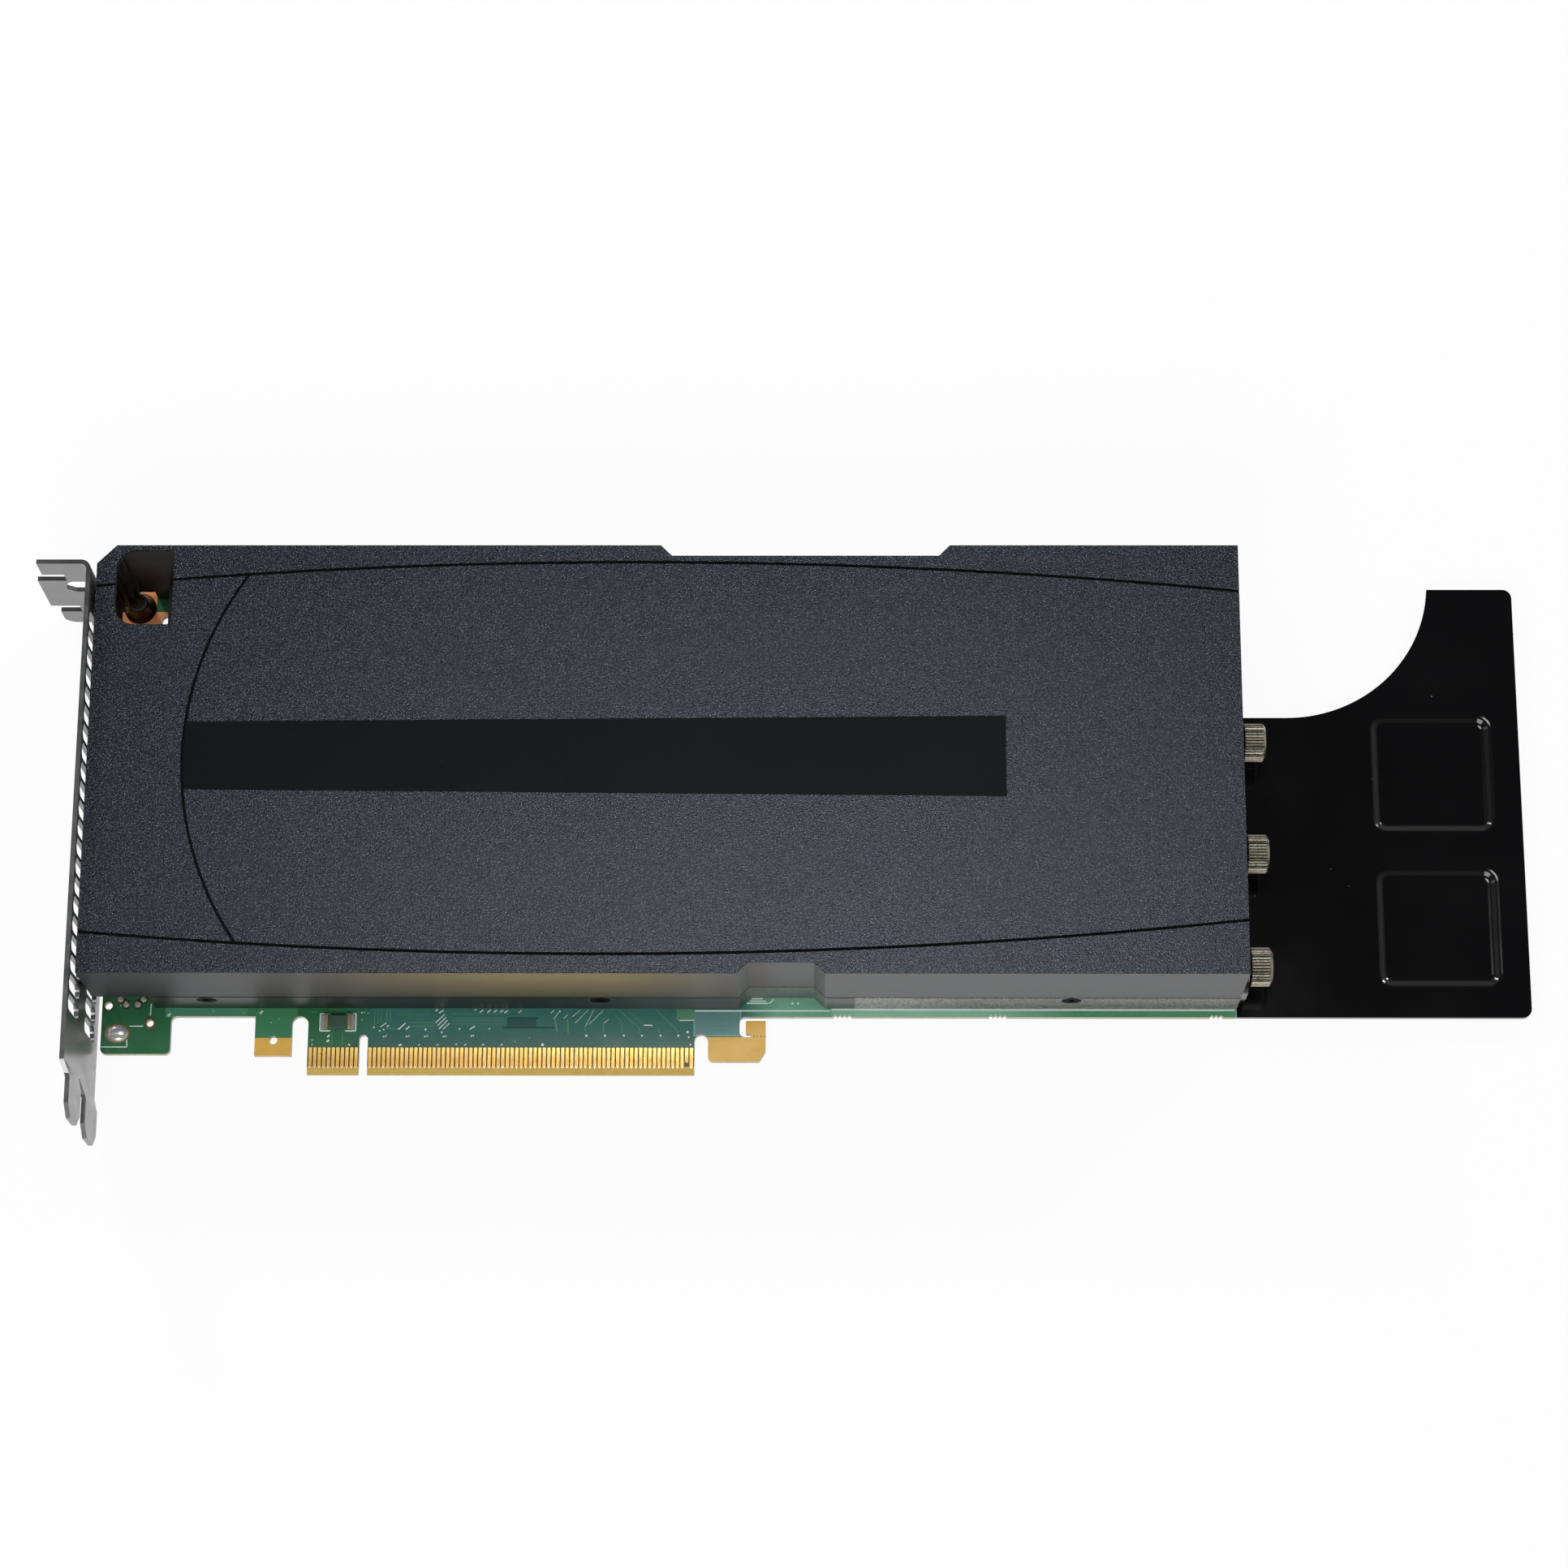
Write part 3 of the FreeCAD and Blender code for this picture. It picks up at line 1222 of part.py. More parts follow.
def make_extender():
    left, right = cover_right, cover_right + S.extender_length
    bottom, step, top = S.board_edge, upright_end + S.extender_step, S.board_height + S.extender_beyond
    low = -S.extender_sheet
    body = plate("extender_blank", [(left, bottom), (right, bottom), (right, top), (left, top)], low,
                 S.extender_sheet)
    round_corners(body, "extender_rounds", S.extender_corner, [(right, bottom), (right, top)])
    upright = new_sketch(body, "upright_sketch", "YZ_Plane", left)
    add_polygon(upright, [(bottom + 2, low), (upright_end, low), (upright_end, S.upright_height),
                          (bottom + 2, S.upright_height)])
    pad(body, "upright_pad", upright, S.extender_sheet)
    round_corners(body, "upright_rounds", 3.0, [(bottom + 2, S.upright_height),
                                                (upright_end, S.upright_height)], axis=0)
    holes = new_sketch(body, "upright_holes", "YZ_Plane", left)
    for y in thumb_rows:
        add_circle(holes, (y, S.thumb_height), S.thumb_shank_radius + S.thumb_clearance)
    pocket(body, "upright_hole_cuts", holes, S.extender_sheet, upward=True)
    centre_y = step + S.arc_radius
    arc_start = left + S.arc_start
    scoop = cylinder("scoop", (arc_start, centre_y, low - 1), S.arc_radius, S.extender_sheet + 2)
    strip = box("scoop_side", (left - 1, step, low - 1), (arc_start - left + 1, top - step + 1,
                                                          S.extender_sheet + 2))
    rows = [bottom + S.panel_front_margin + index * (S.panel_side + S.panel_gap) for index in range(2)]
    panel_left = right - S.panel_end_margin - S.panel_side
    dents = [panel("dent", panel_left, y, 0) for y in rows]
    swells = [panel("swell", panel_left, y, low) for y in rows]
    solid = fuse("extender_solid", [body] + swells)
    node("extender_bracket", cut("extender_cut", solid, [scoop, strip] + dents))


def rounded_square(centre, half, radius):
    """Closed wire of four straight sides and four quarter arcs."""
    straight = half - radius
    diagonal = radius / math.sqrt(2)
    edges = []
    for quarter in range(4):
        turn = FreeCAD.Rotation(Vector(0, 0, 1), 90 * quarter)
        peak = straight + diagonal
        points = [centre + turn.multVec(Vector(x, y, 0)) for x, y in (
            (half, straight), (peak, peak), (straight, half), (-straight, half))]
        edges += [Part.Arc(*points[:3]).toShape(), Part.makeLine(points[2], points[3])]
    return Part.Wire(edges)


def panel(name, left, front, surface):
    """Square pressed down from a face of the sheet; its sides roll over at the top and at the bottom."""
    half, slope, depth = S.panel_side.value / 2, S.panel_slope.value, S.panel_depth.value
    sections = []
    for step in range(PANEL_STEPS + 1):
        share = step / PANEL_STEPS
        drop = depth * (1 - math.cos(math.pi * share)) / 2
        centre = Vector(left.value + half, front.value + half, as_size(surface).value - drop)
        sections.append(rounded_square(centre, half - slope * share, S.panel_corner.value - slope * share))
    shape = doc.addObject("Part::Feature", name)
    shape.Shape = Part.makeLoft(sections, True, True)
    return shape


def knurled_head(x, y):
    """Head with straight teeth and a chamfer at both ends, on an axis along X."""
    radius, length = S.thumb_head_radius.value, S.thumb_head_length.value
    corners = []
    for index in range(2 * KNURL_TEETH):
        reach = radius - S.knurl_depth.value * (index % 2)
        turn = math.pi * index / KNURL_TEETH
        corners.append(Vector(0, reach * math.cos(turn), reach * math.sin(turn)))
    prism = Part.Face(Part.makePolygon(corners + corners[:1])).extrude(Vector(length, 0, 0))
    chamfer = S.thumb_chamfer.value
    profile = Part.makePolygon([Vector(0, 0, 0), Vector(0, radius - chamfer, 0), Vector(chamfer, radius, 0),
                                Vector(length - chamfer, radius, 0), Vector(length, radius - chamfer, 0),
                                Vector(length, 0, 0), Vector(0, 0, 0)])
    turned = Part.Face(profile).revolve(Vector(0, 0, 0), Vector(1, 0, 0), 360)
    shank = Part.makeCylinder(S.thumb_shank_radius.value, S.thumb_shank_length.value + thumb_seat.value
                              - cover_right.value, Vector(0, 0, 0), Vector(-1, 0, 0))
    screw = prism.common(turned).fuse(shank).removeSplitter()
    screw.translate(Vector(x.value, y.value, S.thumb_height.value))
    return screw


def make_thumbscrews():
    screws = doc.addObject("Part::Feature", "thumbscrew_set")
    screws.Shape = Part.makeCompound([knurled_head(thumb_seat, y) for y in thumb_rows])
    node("thumbscrews", screws)
    washers = []
    for y in thumb_rows:
        at = (upright_outer, y, S.thumb_height)
        disc = cylinder("washer_disc", at, S.washer_radius, S.washer_thickness, "x")
        bore = cylinder("washer_bore", at, S.thumb_shank_radius, S.washer_thickness, "x")
        washers.append(cut("washer", disc, [bore]))
    group("thumbscrew_washers", washers)


# ---- build, check and write ---------------------------------------------------------------------

def check_and_write():
    doc.recompute()
    failed = [thing.Name for thing in doc.Objects if {"Invalid", "Error"} & set(thing.State)]
    if failed:
        raise RuntimeError(f"failed objects: {failed}")
    os.makedirs("parts", exist_ok=True)
    for thing in nodes:
        shape = thing.Shape
        if shape.isNull() or not shape.isValid() or not shape.Solids:
            raise RuntimeError(f"{thing.Label} has no valid solid")
        shape.exportStep(f"parts/{thing.Label}.step")
        print(f"{thing.Label}: {len(shape.Solids)} solids, {shape.Volume:.1f} mm3")


make_circuit_board()
make_contacts()
make_small_parts()
make_io_bracket()
make_tab_fasteners()
make_cover()
node("cover_band", band_blank("band_film_blank"))
make_base_frame()
make_cover_screws()
make_frame_screws()
make_processor()
make_cooler()
make_retention()
make_board_chips()
make_power_connector()
make_extender()
make_thumbscrews()
check_and_write()
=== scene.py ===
import json
import math

import bmesh
import bpy
from mathutils import Matrix, Vector


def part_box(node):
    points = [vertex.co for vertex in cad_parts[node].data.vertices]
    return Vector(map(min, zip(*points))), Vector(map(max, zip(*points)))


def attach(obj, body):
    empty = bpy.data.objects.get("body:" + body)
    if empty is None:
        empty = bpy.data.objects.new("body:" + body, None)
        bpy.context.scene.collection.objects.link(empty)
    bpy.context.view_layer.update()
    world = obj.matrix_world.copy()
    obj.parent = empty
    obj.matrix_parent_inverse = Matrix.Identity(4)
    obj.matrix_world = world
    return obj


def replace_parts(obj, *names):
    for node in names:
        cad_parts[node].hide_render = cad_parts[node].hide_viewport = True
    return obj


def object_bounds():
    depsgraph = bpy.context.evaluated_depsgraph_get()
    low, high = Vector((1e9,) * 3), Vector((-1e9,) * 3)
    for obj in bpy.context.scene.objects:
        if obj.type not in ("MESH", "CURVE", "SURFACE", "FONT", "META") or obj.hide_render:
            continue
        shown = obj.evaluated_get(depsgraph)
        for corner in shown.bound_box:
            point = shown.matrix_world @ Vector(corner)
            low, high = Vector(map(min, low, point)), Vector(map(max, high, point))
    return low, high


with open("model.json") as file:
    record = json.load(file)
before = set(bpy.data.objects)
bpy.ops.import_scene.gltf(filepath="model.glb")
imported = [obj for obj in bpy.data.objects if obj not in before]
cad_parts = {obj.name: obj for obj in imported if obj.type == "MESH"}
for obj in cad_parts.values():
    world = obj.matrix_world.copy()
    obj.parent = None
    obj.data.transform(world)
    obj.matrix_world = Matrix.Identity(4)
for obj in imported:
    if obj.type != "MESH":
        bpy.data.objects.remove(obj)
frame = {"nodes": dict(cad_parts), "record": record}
cad_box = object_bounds()
nodes = frame["nodes"]
MM = 0.001
SHARP = 0.01  # width in millimetres of an edge between two tones that looks sharp


# ---- material helpers ----------------------------------------------------------------------------

def set_stops(band, stops):
    """Give a colour ramp its grey stops, as (position, level)."""
    while len(band.elements) < len(stops):
        band.elements.new(0.5)
    for element, (position, level) in zip(band.elements, stops):
        element.position = position
        element.color = (level, level, level, 1.0)


class Finish:
    """A material under construction: adds nodes and links them by name."""

    def __init__(self, name):
        self.material = bpy.data.materials.new(name)
        self.material.use_nodes = True
        self.tree = self.material.node_tree
        self.shader = self.tree.nodes["Principled BSDF"]
        self.place = self.add("ShaderNodeTexCoord").outputs["Object"]

    def add(self, kind, **settings):
        made = self.tree.nodes.new(kind)
        for key, value in settings.items():
            setattr(made, key, value)
        return made

    def link(self, start, end):
        self.tree.links.new(start, end)

    def feed(self, socket, value):
        """Link an output to a socket, or set the socket to a constant."""
        if isinstance(value, bpy.types.NodeSocket):
            self.link(value, socket)
        else:
            socket.default_value = value

    def plain(self, color=None, roughness=None, metallic=None, **others):
        shader = self.shader
        if color is not None:
            shader.inputs["Base Color"].default_value = (*color, 1.0)
        if roughness is not None:
            shader.inputs["Roughness"].default_value = roughness
        if metallic is not None:
            shader.inputs["Metallic"].default_value = metallic
        for key, value in others.items():
            shader.inputs[key.replace("_", " ")].default_value = value
        return self

    def noise(self, scale, detail=3.0, roughness=0.6, stretch=None):
        """Noise on the object's own coordinates; the scale is in cells per metre."""
        place = self.place
        if stretch is not None:
            mapping = self.add("ShaderNodeMapping")
            mapping.inputs["Scale"].default_value = stretch
            self.link(self.place, mapping.inputs["Vector"])
            place = mapping.outputs["Vector"]
        made = self.add("ShaderNodeTexNoise")
        made.inputs["Scale"].default_value = scale
        made.inputs["Detail"].default_value = detail
        made.inputs["Roughness"].default_value = roughness
        self.link(place, made.inputs["Vector"])
        return made.outputs["Fac"]

    def ramp(self, value, *stops):
        """Grey stops as (position, level)."""
        made = self.add("ShaderNodeValToRGB")
        set_stops(made.color_ramp, stops)
        self.link(value, made.inputs["Fac"])
        return made.outputs["Color"]

    def math(self, operation, first, second=0.0):
        made = self.add("ShaderNodeMath", operation=operation)
        for socket, value in zip(made.inputs, (first, second)):
            self.feed(socket, value)
        return made.outputs["Value"]

    def axis(self, letter):
        split = self.add("ShaderNodeSeparateXYZ")
        self.link(self.place, split.inputs["Vector"])
        return split.outputs[letter]

    def facing(self, letter):
        """One part of the surface's own normal."""
        split = self.add("ShaderNodeSeparateXYZ")
        self.link(self.add("ShaderNodeNewGeometry").outputs["Normal"], split.inputs["Vector"])
        return split.outputs[letter]

    def product(self, first, second):
        return self.math("MULTIPLY", first, second)

    def inverse(self, value):
        return self.math("SUBTRACT", 1.0, value)

    def past(self, place, start, width=SHARP):
        """0 up to the start and 1 from its width on; the two are in millimetres."""
        share = self.math("DIVIDE", self.math("SUBTRACT", place, start * MM), width * MM)
        return self.math("MINIMUM", self.math("MAXIMUM", share, 0.0), 1.0)

    def between(self, place, low, high):
        """1 between two places, in millimetres."""
        return self.product(self.past(place, low), self.inverse(self.past(place, high)))

    def patch(self, left, right, low, high):
        """1 inside a rectangle of the board's face, in millimetres."""
        return self.product(self.between(self.axis("X"), left, right),
                            self.between(self.axis("Y"), low, high))

    def distance(self, across, along):
        return self.math("SQRT", self.math("ADD", self.product(across, across), self.product(along, along)))

    def disc(self, x, y, radius):
        """1 inside a circle of the board's face, in millimetres."""
        reach = self.distance(self.math("SUBTRACT", self.axis("X"), x * MM),
                              self.math("SUBTRACT", self.axis("Y"), y * MM))
        return self.math("LESS_THAN", reach, radius * MM)

    def mix(self, factor, first, second):
        made = self.add("ShaderNodeMix", data_type="RGBA")
        self.feed(made.inputs["Factor"], factor)
        for name, value in (("A", first), ("B", second)):
            socket = next(s for s in made.inputs if s.name == name and s.type == "RGBA")
            self.feed(socket, (*value, 1.0) if isinstance(value, tuple) else value)
        return next(s for s in made.outputs if s.type == "RGBA")

    def color(self, value):
        self.link(value, self.shader.inputs["Base Color"])

    def rough(self, value):
        self.link(value, self.shader.inputs["Roughness"])

    def bump(self, value, strength, distance):
        made = self.add("ShaderNodeBump")
        made.inputs["Strength"].default_value = strength
        made.inputs["Distance"].default_value = distance
        self.link(value, made.inputs["Height"])
        self.link(made.outputs["Normal"], self.shader.inputs["Normal"])


def srgb(red, green, blue):
    """Linear colour from display levels of 0 to 255."""
    def linear(level):
        level /= 255
        return level / 12.92 if level <= 0.04045 else ((level + 0.055) / 1.055) ** 2.4
    return tuple(linear(level) for level in (red, green, blue))


# ---- finishes ------------------------------------------------------------------------------------

# Places where a tone starts along an axis, each with the width of its blend, in millimetres.
# on the cover's front wall: a painted shadow of the bracket that fades out, a gold-tinted painted
# reflection of the contacts and a paler painted reflection to the right
WALL_SHADOW_FADE = (-48, 46)
WALL_GOLD_REFLECTION_START, WALL_GOLD_REFLECTION_END, WALL_GOLD_REFLECTION_RISE = (-12, 44), (56, 26), (8, 20)
WALL_PALE_REFLECTION_START = (50, 20)
FRONT_WALL_END = (20, 2)
FRAME_GREY_START = (48, 16)
# where the frame's painted reflection of the board's bright edge starts
FRAME_REFLECTION_START = (106.9, 0.2)
FRAME_SHADED_START = (112, 22)
# where the board's painted sheen turns the mask blue-green and then bright green
BOARD_SHEEN_START = (-8, 14)
BOARD_TEAL_RISE = (7.5, 4)
BOARD_BRIGHT_SHEEN_START = (82, 8)
BOARD_EDGE_DULL_START = (135, 20)
GOLD_PALE_START = (3.0, 2.6)
FRAME_HALF_SPECKLED = (83.5, 101)  # from and to


def cover_paint():
    """Grained dark paint on the cover's face, darker in its grooves as painted shade, and satin on its
    walls, whose lighter grey is partly a painted sheen.

    The front wall carries a painted shadow of the bracket at its left end, a gold-tinted painted reflection
    of the contacts over them and a paler painted reflection to the right.
    """
    f = Finish("cover_paint").plain(Specular_IOR_Level=0.52, Specular_Tint=(0.84, 0.9, 1.0, 1.0))
    cover_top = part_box("cover")[1][2] / MM
    face_level = cover_top - 0.12
    groove_floor = cover_top - 0.5
    x, y, height = f.axis("X"), f.axis("Y"), f.axis("Z")
    face = f.past(height, face_level)
    groove = f.between(height, groove_floor, face_level)
    grain = f.noise(3300, 1.0)
    patches = f.noise(30, 3.0, 0.5)
    specks = f.noise(4000, 1.0, 0.5)
    base = f.mix(f.ramp(patches, (0.3, 0.0), (0.7, 1.0)), srgb(17, 20, 27), srgb(22, 26, 35))
    grained = f.mix(f.ramp(grain, (0.42, 0.0), (0.6, 1.0)), srgb(5, 6, 9), base)
    lit = f.mix(f.ramp(grain, (0.58, 0.0), (0.76, 1.0)), grained, srgb(62, 69, 88))
    flecked = f.mix(f.ramp(specks, (0.64, 0.0), (0.72, 1.0)), lit, srgb(148, 154, 168))
    # the walls' lighter grey is satin paint and partly a painted sheen of the floor's reflection
    walls = f.mix(f.noise(60), srgb(50, 49, 48), srgb(58, 57, 56))
    # painted shadow of the bracket at the wall's left end, then painted reflections: paler from X=50 mm and
    # gold-tinted over the contacts
    bracket_shadowed = f.mix(f.past(x, *WALL_SHADOW_FADE), srgb(6, 7, 8), walls)
    pale_reflection = f.mix(f.past(x, *WALL_PALE_REFLECTION_START), bracket_shadowed, srgb(74, 74, 74))
    gold_reflection = f.product(f.past(x, *WALL_GOLD_REFLECTION_START), f.inverse(f.past(x, *WALL_GOLD_REFLECTION_END)))
    gold_reflection = f.product(gold_reflection, f.past(height, *WALL_GOLD_REFLECTION_RISE))
    front = f.mix(gold_reflection, pale_reflection, srgb(122, 109, 72))
    walls = f.mix(f.past(y, *FRONT_WALL_END), front, walls)
    # the grooves are painted nearly black, and given metal with that dark colour, as painted shade
    f.color(f.mix(face, f.mix(groove, walls, srgb(2, 3, 5)), flecked))
    f.link(f.product(groove, f.math("SUBTRACT", 0.6, face)), f.shader.inputs["Metallic"])
    f.rough(f.mix(face, f.mix(groove, (0.5, 0.5, 0.5), (0.9, 0.9, 0.9)),
                  f.ramp(grain, (0.35, 0.24), (0.7, 0.31))))
    f.bump(f.product(grain, face), 0.35, 0.0002)
    return f.material


def band_film():
    """Smooth dark film with a little dust on it."""
    f = Finish("band_film").plain(roughness=0.4, Specular_IOR_Level=0.1)
    dust = f.noise(1500, 1.0)
    base = f.mix(f.noise(55), srgb(6, 9, 13), srgb(11, 14, 19))
    f.color(f.mix(f.ramp(dust, (0.74, 0.0), (0.82, 0.5)), base, srgb(40, 46, 54)))
    f.bump(f.noise(900, 2.0), 0.12, 0.00008)
    return f.material


def frame_black():
    """Dark cast frame, greyer from X=48 mm and speckled lighter from X=83.5 to 101 mm; from X=107 mm a
    painted reflection of the board's bright edge, with a speckled grain, dimmer from X=112 mm.
    """
    f = Finish("frame_black")
    x = f.axis("X")
    tone = f.noise(70)
    sparkle = f.noise(2600, 2.0, 0.7)
    grit = f.ramp(sparkle, (0.36, 0.0), (0.68, 1.0))
    sparse_grit = f.ramp(sparkle, (0.4, 0.0), (0.72, 1.0))
    dark = f.mix(tone, srgb(26, 28, 29), srgb(36, 38, 39))
    reflection_grit = f.mix(grit, srgb(66, 65, 63), srgb(176, 172, 166))
    shaded = f.mix(grit, srgb(46, 45, 44), srgb(134, 131, 127))
    half_speckled = f.mix(sparse_grit, srgb(50, 54, 52), srgb(124, 126, 120))
    left = f.mix(f.between(x, *FRAME_HALF_SPECKLED), dark, half_speckled)
    left = f.mix(f.past(x, *FRAME_GREY_START), left, f.mix(0.35, left, srgb(96, 104, 104)))
    # painted reflection of the board's bright edge, with a speckled grain, dimmer from FRAME_SHADED_START
    # on
    right = f.mix(f.past(x, *FRAME_SHADED_START), reflection_grit, shaded)
    f.color(f.mix(f.past(x, *FRAME_REFLECTION_START), left, right))
    f.rough(f.ramp(tone, (0.3, 0.36), (0.7, 0.46)))
    f.bump(sparkle, 0.12, 0.00008)
    return f.material


def extender_paint():
    """Gloss black coat with a little dust and a few fine scratches."""
    f = Finish("extender_paint").plain(roughness=0.1, Specular_IOR_Level=0.4)
    dust = f.noise(1300, 0.0, 0.5)
    scratch = f.noise(60, 2.0, 0.7, stretch=(1.0, 14.0, 1.0))
    base = f.mix(f.noise(18, 2.0), srgb(8, 8, 10), srgb(14, 14, 16))
    worn = f.mix(f.ramp(scratch, (0.78, 0.0), (0.8, 0.3)), base, srgb(40, 38, 36))
    f.color(f.mix(f.ramp(dust, (0.89, 0.0), (0.91, 1.0)), worn, srgb(92, 90, 85)))
    f.rough(f.ramp(f.noise(35), (0.3, 0.08), (0.7, 0.14)))
    f.bump(f.noise(160, 2.0), 0.03, 0.0002)
    return f.material


# Rectangles of the board's face in millimetres: left, right, front and back.
CLOUDY_ZONES = (
    ((-43.5, -25.6, 12.6, 15.0), (68, 136, 102), (84, 152, 118)),
    ((-25.6, -14.6, 8.1, 15.0), (56, 122, 82), (70, 142, 98)),
)
FINE_ZONES = (
    ((71.9, 82.3, 8.6, 14.2), (112, 168, 150), (132, 182, 164)),
    ((72.2, 82.0, 8.9, 14.0), (92, 134, 133), (112, 150, 148)),
    ((68.2, 72.1, 12.2, 14.6), (84, 138, 106), (100, 150, 118)),
)
FRAME_SIDE_EDGE = (102.0, 190.0, 12.9, 14.4)
SMUDGES = (
    ((31.4, 37.9, 12.45, 12.75), 0.9), ((30.3, 41.6, 10.3, 10.6), 0.9), ((31.2, 37.6, 10.6, 12.4), 0.5),
)
PLATED_ZONES = ((-25, -15.6, 0, 8.1), (74, 88, 0, 8.4), (83.2, 88, 0, 12.3))
CONTACT_FIELD = (-12.3, 72.3, -1, 6.1)
CONTACT_LOW = 1.75  # under this height the field is plain, above it only shows between contacts
COPPER_CORNER = (-58, -44, 99, 112)
COPPER_END = (-49.8, -44, 106.4, 112)
COPPER_END_DISC = (-46.6, 107.2, 5.0)


def board_laminate():
    """Green solder mask with bare, plated and copper zones; raw laminate on the cut edges.

    From X=-8 mm the mask turns blue-green, darker towards the front edge, and from X=82 mm bright green: a
    painted sheen of reflected light.
    """
    f = Finish("board_laminate").plain(roughness=0.28, Specular_IOR_Level=0.3)
    x, y = f.axis("X"), f.axis("Y")
    level = f.math("ABSOLUTE", f.facing("Z"))
    cloud = f.noise(30)
    fine = f.noise(160)
    green = f.mix(cloud, srgb(40, 99, 62), srgb(53, 117, 78))
    low_teal = f.mix(fine, srgb(40, 90, 82), srgb(54, 106, 98))
    high_teal = f.mix(fine, srgb(52, 108, 98), srgb(66, 126, 116))
    bright = f.mix(fine, srgb(104, 164, 134), srgb(132, 190, 160))
    # painted sheen: blue-green from X=-8 mm and bright green from X=82 mm; the blue-green is darker towards
    # the front edge
    teal_sheen = f.mix(f.past(y, *BOARD_TEAL_RISE), low_teal, high_teal)
    toned = f.mix(f.past(x, *BOARD_SHEEN_START), green, teal_sheen)
    toned = f.mix(f.past(x, *BOARD_BRIGHT_SHEEN_START), toned, bright)
    for grain, zones in ((cloud, CLOUDY_ZONES), (fine, FINE_ZONES)):
        for zone, dark, light in zones:
            toned = f.mix(f.patch(*zone), toned, f.mix(grain, srgb(*dark), srgb(*light)))
    pale_edge = f.mix(fine, srgb(138, 196, 168), srgb(160, 216, 188))
    dull_edge = f.mix(fine, srgb(82, 150, 112), srgb(98, 166, 128))
    toned = f.mix(f.patch(*FRAME_SIDE_EDGE), toned,
                  f.mix(f.past(x, *BOARD_EDGE_DULL_START), pale_edge, dull_edge))
    smudge = f.mix(fine, srgb(18, 46, 48), srgb(26, 56, 58))
    for zone, strength in SMUDGES:
        toned = f.mix(f.product(f.patch(*zone), strength), toned, smudge)
    weave = f.noise(420, 2.0, 0.5, stretch=(1.0, 2.4, 1.0))
    plated = f.mix(weave, srgb(226, 176, 74), srgb(242, 196, 92))
    for zone in PLATED_ZONES:
        toned = f.mix(f.patch(*zone), toned, plated)
    between_contacts = f.mix(weave, srgb(66, 42, 12), srgb(92, 62, 22))
    below_contacts = f.mix(weave, srgb(196, 160, 78), srgb(220, 186, 100))
    bare = f.mix(f.past(y, CONTACT_LOW), below_contacts, between_contacts)
    toned = f.mix(f.patch(*CONTACT_FIELD), toned, bare)
    copper = f.mix(f.noise(120), srgb(236, 142, 84), srgb(252, 176, 118))
    masked_end = f.product(f.patch(*COPPER_END), f.disc(*COPPER_END_DISC))
    pour = f.product(f.patch(*COPPER_CORNER), f.inverse(masked_end))
    toned = f.mix(pour, toned, copper)
    layers = f.noise(900, 2.0, 0.5, stretch=(0.3, 0.3, 6.0))
    cut_edge = f.mix(layers, srgb(150, 140, 104), srgb(196, 184, 146))
    f.color(f.mix(f.ramp(level, (0.3, 0.0), (0.5, 1.0)), cut_edge, toned))
    f.rough(f.ramp(f.noise(140, 2.0), (0.3, 0.22), (0.7, 0.34)))
    f.bump(f.noise(700, 2.0), 0.1, 0.00005)
    return f.material


def contact_gold():
    """Hard gold plating, paler towards the board, with fine wipe marks along each contact."""
    f = Finish("contact_gold").plain(roughness=0.34, metallic=0.7)
    wiped = f.noise(500, stretch=(3.0, 0.7, 1.0))
    lower = f.mix(wiped, srgb(208, 156, 78), srgb(230, 184, 100))
    upper = f.mix(wiped, srgb(232, 194, 100), srgb(248, 218, 132))
    f.color(f.mix(f.past(f.axis("Y"), *GOLD_PALE_START), lower, upper))
    f.rough(f.ramp(f.noise(800, 2.0, 0.5, stretch=(4.0, 0.6, 1.0)), (0.3, 0.26), (0.7, 0.42)))
    return f.material


def metal(name, dark, light, rough_low, rough_high, scale=120, stretch=None, bump=0.06, metallic=1.0):
    """Metal with tone and gloss that vary over it, stretched along a grain where there is one."""
    f = Finish(name).plain(metallic=metallic)
    tone = f.noise(scale, 4.0, stretch=stretch)
    f.color(f.mix(tone, dark, light))
    f.rough(f.ramp(f.noise(scale * 2.3, stretch=stretch), (0.3, rough_low), (0.7, rough_high)))
    f.bump(tone, bump, 0.0001)
    return f.material


def moulded(name, dark, light, rough, scale=300, bump=0.15, specular=0.5):
    """Plastic, ferrite or resin with a fine moulded grain."""
    f = Finish(name).plain(roughness=rough, Specular_IOR_Level=specular)
    grain = f.noise(scale)
    f.color(f.mix(grain, dark, light))
    f.rough(f.ramp(grain, (0.3, max(rough - 0.08, 0.02)), (0.7, rough + 0.08)))
    f.bump(f.noise(scale * 5, 2.0), bump, 0.00006)
    return f.material


def post_dark():
    """Turned post: grey on top as painted light, and dark brown down its side as a painted reflection of
    the copper.
    """
    f = Finish("post_dark").plain(metallic=0.8)
    head_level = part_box("corner_post")[1][2] / MM - 0.2
    tone = f.noise(300)
    # painted light on the top and a painted reflection of the copper on the side
    top = f.mix(tone, srgb(58, 58, 60), srgb(84, 84, 86))
    side = f.mix(tone, srgb(44, 33, 24), srgb(74, 56, 40))
    f.color(f.mix(f.past(f.axis("Z"), head_level, 0.1), side, top))
    f.rough(f.ramp(tone, (0.3, 0.24), (0.7, 0.4)))
    return f.material


